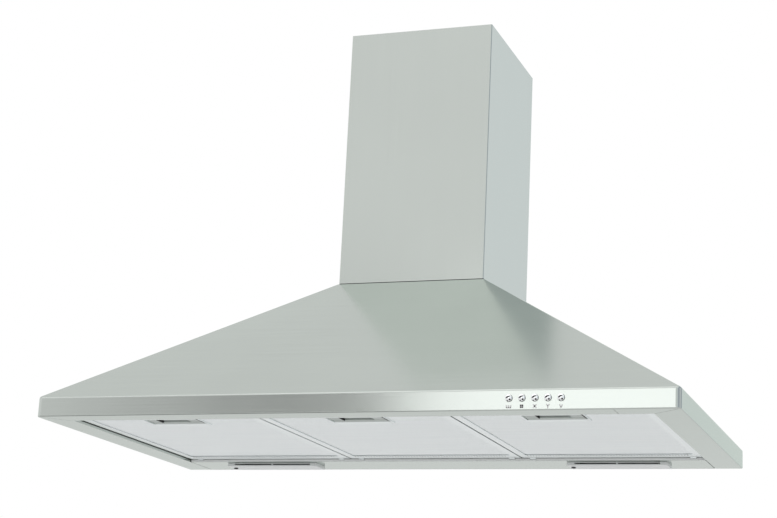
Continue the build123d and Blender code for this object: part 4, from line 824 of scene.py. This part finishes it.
for i in FILTERS:
    low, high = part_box(f"filter_mesh_{i}")
    latch_low, latch_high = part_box(f"filter_latch_{i}")
    window = (
        (low.x + SIDE_BORDER - TUCK, low.y + FRONT_BORDER - TUCK),
        (high.x - SIDE_BORDER + TUCK, high.y - REAR_BORDER + TUCK),
    )
    pocket = (
        latch_low.x - POCKET_LEFT_ROOM, latch_high.x + POCKET_RIGHT_ROOM, latch_high.y + POCKET_REAR_ROOM,
    )
    body = f"filter_{i}"
    fine = mesh_sheet(window, low.z + LAYER / 2, FINE_HALF_CELL, pocket)
    coarse = mesh_sheet(window, high.z - LAYER, COARSE_HALF_CELL, pocket)
    piece(f"filter_face_mesh_{i}", fine, body)
    piece(f"filter_top_mesh_{i}", coarse, body)
    core = core_sheet(f"filter_core_{i}", window, low.z + LAYER / 2, pocket)
    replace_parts(piece(f"filter_core_{i}", core, body), f"filter_mesh_{i}")
    print("filter", i, "face", len(fine.polygons), "top", len(coarse.polygons), "faces")

# %% [markdown]
# Along each filter's rear border runs a row of short drain slots, through which the grease creeps back into
# the frame. Each slot is a thin dark disc laid on the frame, painted shade that stands for the dark inside of
# an opening. One slot, repeated along a line of points, is all the tree does.

# %% Drain slots as painted shade
DRAIN_PITCH = 0.0043
DRAIN_HALF_WIDTH = 0.0008
DRAIN_HALF_LENGTH = 0.0034
DRAIN_SKIN = 0.00006
DRAIN_CORNERS = 12
DRAIN_END_MARGIN = 0.012
DRAIN_MIDDLE_INSET = 0.0190

slot_tree, given = new_tree("drain_slots", {
    "Count": "Int", "Pitch": "Float", "Half Width": "Float", "Half Length": "Float", "Skin": "Float",
    "Place": "Vector", "Material": "Material",
})
size = given.outputs
pitch = add(slot_tree, "ShaderNodeCombineXYZ", {"X": size["Pitch"]})
spots = add(slot_tree, "GeometryNodeMeshLine", {"Count": size["Count"], "Offset": pitch.outputs[0]})
disc = add(slot_tree, "GeometryNodeMeshCylinder", {"Vertices": DRAIN_CORNERS, "Radius": 1.0, "Depth": 1.0})
stretch = add(slot_tree, "ShaderNodeCombineXYZ", {
    "X": size["Half Width"], "Y": size["Half Length"], "Z": size["Skin"],
})
row = add(slot_tree, "GeometryNodeInstanceOnPoints", {
    "Points": spots.outputs[0], "Instance": disc.outputs[0], "Scale": stretch.outputs[0],
})
laid = add(slot_tree, "GeometryNodeTransform", {"Geometry": row.outputs[0], "Translation": size["Place"]})
end_tree(slot_tree, laid.outputs[0], size["Material"])

for i in FILTERS:
    low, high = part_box(f"filter_mesh_{i}")
    skin_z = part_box(f"filter_frame_{i}")[0].z
    start = low.x + DRAIN_END_MARGIN
    count = int((high.x - low.x - 2 * DRAIN_END_MARGIN) / DRAIN_PITCH)
    # painted shade: flat dark discs stand for the shaded insides of the slots
    slots = grown(slot_tree, {
        "Count": count, "Pitch": DRAIN_PITCH, "Half Width": DRAIN_HALF_WIDTH,
        "Half Length": DRAIN_HALF_LENGTH, "Skin": DRAIN_SKIN,
        "Place": (start, high.y - DRAIN_MIDDLE_INSET, skin_z), "Material": drain_slot_painted_shade,
    })
    piece(f"filter_drain_slot_shades_{i}", slots, f"filter_{i}")
    print("filter", i, "has", count, "drain slots")

# %% [markdown]
# The next pieces are small and plain, and two helpers make them all from bmesh. A tray is an open box turned
# upside down: four rings of corners, skinned from ring to ring, so that its walls have a real thickness. A
# bar is a cube at its size with its edges bevelled, because no moulded or cut edge is quite sharp.

# %% Helpers for trays and bars
BEVEL_SEGMENTS = 2


def skinned(shape, rings):
    """Faces from each ring of corners to the next, with a cap on the first and the last."""
    for near, far in zip(rings, rings[1:]):
        for k in range(len(near)):
            j = (k + 1) % len(near)
            shape.faces.new((near[k], near[j], far[j], far[k]))
    shape.faces.new(rings[0])
    shape.faces.new(rings[-1])


def open_tray(name, low, high, wall, material):
    """Box that is open below, with walls and a roof of one thickness."""
    shape = bmesh.new()

    def ring(inset, z):
        x0, y0, x1, y1 = low.x + inset, low.y + inset, high.x - inset, high.y - inset
        return [shape.verts.new((x, y, z)) for x, y in ((x0, y0), (x1, y0), (x1, y1), (x0, y1))]

    skinned(shape, [ring(wall, high.z - wall), ring(wall, low.z), ring(0.0, low.z), ring(0.0, high.z)])
    return kept_mesh(name, shape, material)


def bevelled_bar(name, low, high, bevel, material):
    shape = bmesh.new()
    bmesh.ops.create_cube(shape, size=1.0)
    bmesh.ops.scale(shape, vec=high - low, verts=shape.verts)
    bmesh.ops.translate(shape, vec=(low + high) / 2, verts=shape.verts)
    bmesh.ops.bevel(
        shape, geom=shape.edges, offset=bevel, segments=BEVEL_SEGMENTS, profile=0.5, affect="EDGES",
    )
    return kept_mesh(name, shape, material)


print("tray and bar helpers ready")

# %% [markdown]
# A latch is a moulded plate, and what makes it read as one is the dark around it: a shallow tray over the
# plate that shades its finger slot, and two dark rubber strips at the slot's left end and along the plate's
# right end, which are painted shade standing for the shaded walls there. A tab of the frame closes the rear of
# the gap beside the plate, and a thin pad under the plate slides on the frame's ledge.

# %% Latch trays and strips of painted shade
TRAY_WALL = 0.0005
TRAY_SLACK = 0.0002
TRAY_RIGHT_ROOM = 0.0030
LATCH_LENGTH = 0.042
LATCH_TRAVEL = 0.006
TRAY_HEIGHT = 0.0010
FINGER_SLOT_LEFT = 0.0175
FINGER_SLOT_FRONT = 0.0042
FINGER_SLOT_DEPTH = 0.0236
SLOT_SHADE_STRIP_WIDTH = 0.0012
END_SHADE_STRIP_WIDTH = 0.0018
END_SHADE_STRIP_LENGTH = 0.0260
SHADE_STRIP_DROP = 0.0011
SHADE_STRIP_HEIGHT = 0.0027
STRIP_AND_TAB_BEVEL = 0.0002
END_STRIP_GAP = 0.0004
END_SHADE_STRIP_INSET = 0.0024
TAB_FRONT = 0.0352
TAB_REAR = 0.0480
TAB_RISE = 0.0010
LATCH_RISE = 0.0014
PAD_FRONT = 0.0282
PAD_DROP = 0.00034
PAD_BEVEL = 0.0001

for i in FILTERS:
    low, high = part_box(f"filter_latch_{i}")
    front = high.y - LATCH_LENGTH
    tray_low = Vector((low.x - TRAY_SLACK, front - TRAY_SLACK, high.z + TRAY_SLACK))
    tray_high = Vector((
        high.x + TRAY_RIGHT_ROOM, high.y + LATCH_TRAVEL + TRAY_SLACK, high.z + TRAY_HEIGHT,
    ))
    tray = open_tray(f"latch_tray_{i}", tray_low, tray_high, TRAY_WALL, latch_plastic)
    piece(tray.name, tray, f"filter_{i}")
    shade_strip_base = low.z - SHADE_STRIP_DROP
    slot_corner = Vector((low.x + FINGER_SLOT_LEFT, front + FINGER_SLOT_FRONT, shade_strip_base))
    end_corner = Vector((high.x + END_STRIP_GAP, front + END_SHADE_STRIP_INSET, shade_strip_base))
    # painted shade: two dark rubber strips stand for the shade at the slot's left end and at the plate's right
    # end
    shade_strips = {
        f"latch_slot_shade_strip_{i}": (slot_corner, SLOT_SHADE_STRIP_WIDTH, FINGER_SLOT_DEPTH),
        f"latch_end_shade_strip_{i}": (end_corner, END_SHADE_STRIP_WIDTH, END_SHADE_STRIP_LENGTH),
    }
    for name, (corner, width, length) in shade_strips.items():
        far = corner + Vector((width, length, SHADE_STRIP_HEIGHT))
        piece(name, bevelled_bar(name, corner, far, STRIP_AND_TAB_BEVEL, painted_shade_rubber), f"latch_{i}")
    frame_z = low.z - LATCH_RISE
    tab_low = Vector((high.x + END_STRIP_GAP, front + TAB_FRONT, frame_z))
    tab_high = Vector((high.x + TRAY_RIGHT_ROOM, front + TAB_REAR, frame_z + TAB_RISE))
    name = f"latch_gap_tab_{i}"
    tab = bevelled_bar(name, tab_low, tab_high, STRIP_AND_TAB_BEVEL, frame_aluminium)
    piece(name, tab, f"filter_{i}")
    pad_low = Vector((low.x + END_STRIP_GAP, front + PAD_FRONT, low.z - PAD_DROP))
    pad_high = Vector((high.x - END_STRIP_GAP, high.y - TRAY_SLACK, low.z + TRAY_SLACK))
    name = f"latch_slide_pad_{i}"
    pad = bevelled_bar(name, pad_low, pad_high, PAD_BEVEL, latch_plastic)
    piece(name, pad, f"latch_{i}")
    print("latch", i, "tray from", tuple(round(c, 4) for c in tray_low))

# %% [markdown]
# The lamp strip ends a millimetre short of the side flanges, and a dark rubber bead in that joint is painted
# shade that stands for the shadow in the gap. It is the same bevelled bar, long and thin, set back a little
# from the flanges' faces.

# %% Joint beads of painted shade
SIDE_FLANGE = 0.040
LAMP_STRIP_DEPTH = 0.082
JOINT_GAP = 0.001
BEAD_SLACK = 0.00005
BEAD_SETBACK = 0.0002
BEAD_TOP = 0.0009
BEAD_REAR = -0.0025
BEAD_BEVEL = 0.00015

canopy_low, canopy_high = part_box("canopy_shell")
joints_x = {
    "left": canopy_low.x + SIDE_FLANGE,
    "right": canopy_high.x - SIDE_FLANGE - JOINT_GAP,
}
for side, x in joints_x.items():
    name = f"strip_joint_shade_bead_{side}"
    bead_low = Vector((x + BEAD_SLACK, -LAMP_STRIP_DEPTH, BEAD_SETBACK))
    bead_high = Vector((x + JOINT_GAP - BEAD_SLACK, BEAD_REAR, BEAD_TOP))
    # painted shade: the dark bead stands for the shadow inside the joint
    piece(name, bevelled_bar(name, bead_low, bead_high, BEAD_BEVEL, painted_shade_rubber), "hood")
print("beads at", {side: round(x, 4) for side, x in joints_x.items()})

# %% [markdown]
# The filters hang in slots of the lamp strip's lip. Each hinge tab is rolled around its axis, and a cylinder
# there fills its slot at every angle. A trim on the lip's face keeps the filters from rattling, and its pale
# tone is painted light that lifts the shade on that face: one comb-shaped outline, cut low at the slots and
# pushed out into a thin plate.

# %% Lip trim and hinge rolls
HINGE_Y = -0.0815
HINGE_Z = 0.0044
HINGE_TAB_INSET = 0.015
HINGE_TAB_WIDTH = 0.009
ROLL_RADIUS = 0.0022
ROLL_SEGMENTS = 32
TRIM_THICKNESS = 0.0004
TRIM_LOW = 0.0003
TRIM_HIGH = 0.0038
TRIM_NOTCH_TOP = 0.0019
TRIM_NOTCH_HALF = 0.0050

tabs_x = []
for i in FILTERS:
    low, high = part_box(f"filter_frame_{i}")
    shape = bmesh.new()
    for x in (low.x + HINGE_TAB_INSET, high.x - HINGE_TAB_INSET):
        tabs_x.append(x)
        place = Matrix.Translation((x, HINGE_Y, HINGE_Z)) @ Matrix.Rotation(math.pi / 2, 4, "Y")
        bmesh.ops.create_cone(
            shape, cap_ends=True, segments=ROLL_SEGMENTS, radius1=ROLL_RADIUS, radius2=ROLL_RADIUS,
            depth=HINGE_TAB_WIDTH, matrix=place,
        )
    name = f"hinge_rolls_{i}"
    piece(name, kept_mesh(name, shape, frame_aluminium), f"filter_{i}")

left_end, right_end = joints_x["left"] + JOINT_GAP, joints_x["right"]
outline = [(left_end, TRIM_HIGH), (left_end, TRIM_LOW), (right_end, TRIM_LOW), (right_end, TRIM_HIGH)]
for x in reversed(tabs_x):
    right, left = x + TRIM_NOTCH_HALF, x - TRIM_NOTCH_HALF
    outline += [(right, TRIM_HIGH), (right, TRIM_NOTCH_TOP), (left, TRIM_NOTCH_TOP), (left, TRIM_HIGH)]
corners = [(x, -LAMP_STRIP_DEPTH, z) for x, z in outline]
# painted light: the pale trim brightens the shaded face of the lip
trim = pushed_plate("lip_trim", corners, (0.0, -TRIM_THICKNESS, 0.0), lip_trim_painted_light)
piece("lip_trim", trim, "hood")
print("hinge rolls at", [round(x, 4) for x in tabs_x])

# %% [markdown]
# Under the buttons the fascia carries small printed marks: a lamp, a stop mark and three fan speeds. They are
# made of plain bars that fan out from a point, so one tree of turned bars draws them all.

# %% Button marks
MARK_DROP = 0.0107
MARK_INK = 0.00006
BAR_WIDTH = 0.0017

mark_tree, given = new_tree("fanned_bars", {
    "Bars": "Int", "First Turn": "Float", "Turn Step": "Float", "Length": "Float", "Width": "Float",
    "Ink": "Float", "Place": "Vector", "Material": "Material",
})
size = given.outputs
points = add(mark_tree, "GeometryNodeMeshLine", {"Count": size["Bars"], "Offset": (0.0, 0.0, 0.0)})
bar_size = add(mark_tree, "ShaderNodeCombineXYZ", {"X": size["Width"], "Y": size["Ink"], "Z": size["Length"]})
bar = add(mark_tree, "GeometryNodeMeshCube", {"Size": bar_size.outputs[0]})
half_length = add(mark_tree, "ShaderNodeMath", {0: size["Length"], 1: 0.5}, operation="MULTIPLY")
lift = add(mark_tree, "ShaderNodeCombineXYZ", {"Z": half_length.outputs[0]})
raised = add(mark_tree, "GeometryNodeTransform", {"Geometry": bar.outputs[0], "Translation": lift.outputs[0]})
number = add(mark_tree, "GeometryNodeInputIndex", {})
angle = add(mark_tree, "ShaderNodeMath", {
    0: number.outputs[0], 1: size["Turn Step"], 2: size["First Turn"],
}, operation="MULTIPLY_ADD")
turned = add(mark_tree, "ShaderNodeCombineXYZ", {"Y": angle.outputs[0]})
fan = add(mark_tree, "GeometryNodeInstanceOnPoints", {
    "Points": points.outputs[0], "Instance": raised.outputs[0], "Rotation": turned.outputs[0],
})
laid = add(mark_tree, "GeometryNodeTransform", {"Geometry": fan.outputs[0], "Translation": size["Place"]})
end_tree(mark_tree, laid.outputs[0], size["Material"])
print("mark tree has", len(mark_tree.nodes), "nodes")

# %% [markdown]
# Each mark is now a short list of fans. A fan is told by its number of bars, its first turn and the turn from
# bar to bar, a bar's length and width, and how far its point lies to the right and above the mark's middle.

# %% Button marks on the fascia
QUARTER = math.pi / 2
ARM = 0.0033
POST = 0.0034
POST_STEP = 0.0028
LAMP_BAR = 0.0064
STOP_BAR = 0.0050
STOP_SHIFT = 0.0011
WIDE_TURN = 0.7
NARROW_TURN = 0.45
LONG_ARM = 0.0046


def upright(x, length):
    return (1, 0.0, 0.0, length, BAR_WIDTH, x, -length / 2)


def crossbar(z, length):
    return (1, QUARTER, 0.0, length, BAR_WIDTH, -length / 2, z)


MARKS = {
    1: [upright(x, POST) for x in (-POST_STEP, 0.0, POST_STEP)] + [crossbar(-POST / 2, LAMP_BAR)],
    2: [upright(x, STOP_BAR) for x in (-STOP_SHIFT, STOP_SHIFT)]
    + [crossbar(z, STOP_BAR) for z in (-STOP_SHIFT, STOP_SHIFT)],
    3: [(4, QUARTER / 2, QUARTER, ARM, BAR_WIDTH, 0.0, 0.0)],
    4: [
        (2, -WIDE_TURN, 2 * WIDE_TURN, ARM, BAR_WIDTH, 0.0, 0.0),
        (1, math.pi, 0.0, ARM, BAR_WIDTH, 0.0, 0.0),
    ],
    5: [(2, -NARROW_TURN, 2 * NARROW_TURN, LONG_ARM, BAR_WIDTH, 0.0, -LONG_ARM / 2)],
}


def joined(name, meshes):
    shape = bmesh.new()
    for mesh in meshes:
        shape.from_mesh(mesh)
    whole = bpy.data.meshes.new(name)
    shape.to_mesh(whole)
    shape.free()
    whole.materials.append(meshes[0].materials[0])
    return whole


fascia_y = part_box("canopy_shell")[0].y
for i, fans in MARKS.items():
    low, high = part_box(f"button_{i}")
    middle_x = (low.x + high.x) / 2
    mark_z = (low.z + high.z) / 2 - MARK_DROP
    bars = [grown(mark_tree, {
        "Bars": bars_count, "First Turn": first, "Turn Step": step, "Length": length, "Width": width,
        "Ink": MARK_INK, "Place": (middle_x + shift_x, fascia_y, mark_z + shift_z), "Material": print_and_painted_reflection_ink,
    }) for bars_count, first, step, length, width, shift_x, shift_z in fans]
    piece(f"button_mark_{i}", joined(f"button_mark_{i}", bars), "hood")
print("marks under", len(MARKS), "buttons")

# %% [markdown]
# Each chrome cap shows the same dark stroke and dot, which are the dome's reflection; here they are painted on
# the dome as ink, a painted reflection: a row of places, each with a half width, is lifted onto the cap's
# sphere and given a thickness. The dot is a row too, whose half widths follow a circle.

# %% Painted reflection on the caps
CAP_SPHERE = 0.0088
CAP_RADIUS = 0.0046
CAP_PAINT_LIFT = 0.0001
REFLECTED_STROKE = (
    (-0.80, -0.10, 0.10), (-0.55, 0.05, 0.22), (-0.25, 0.19, 0.27),
    (0.06, 0.32, 0.22), (0.36, 0.46, 0.13), (0.64, 0.62, 0.06),
)
REFLECTED_DOT_PLACE = (0.42, -0.50)
REFLECTED_DOT_RADIUS = 0.27
REFLECTED_DOT_ROWS = 7


def reflected_dot_row(k):
    """Place and half width of one row of the painted dot."""
    across = math.cos(math.pi * (k + 0.5) / REFLECTED_DOT_ROWS)
    return REFLECTED_DOT_PLACE[0] - across * REFLECTED_DOT_RADIUS, REFLECTED_DOT_PLACE[1], REFLECTED_DOT_RADIUS * math.sqrt(1 - across * across)


def paint_reflection_on_cap(shape, apex, rows):
    """Closed ribbon of painted reflection on the cap: four corners at each row, joined from row to row."""
    def corner(u, v, lift):
        x, z = u * CAP_RADIUS, v * CAP_RADIUS
        sag = CAP_SPHERE - math.sqrt(CAP_SPHERE ** 2 - x * x - z * z)
        return shape.verts.new((apex.x + x, apex.y + sag - lift, apex.z + z))

    skinned(shape, [[
        corner(u, v + half, CAP_PAINT_LIFT), corner(u, v - half, CAP_PAINT_LIFT),
        corner(u, v - half, -CAP_PAINT_LIFT), corner(u, v + half, -CAP_PAINT_LIFT),
    ] for u, v, half in rows])


for i in MARKS:
    low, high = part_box(f"button_{i}")
    apex = Vector(((low.x + high.x) / 2, low.y, (low.z + high.z) / 2))
    reflection_shape = bmesh.new()
    paint_reflection_on_cap(reflection_shape, apex, REFLECTED_STROKE)
    paint_reflection_on_cap(reflection_shape, apex, [reflected_dot_row(k) for k in range(REFLECTED_DOT_ROWS)])
    name = f"button_painted_reflection_{i}"
    piece(name, kept_mesh(name, reflection_shape, print_and_painted_reflection_ink), f"push_button_{i}")
print("ink on", len(MARKS), "caps")
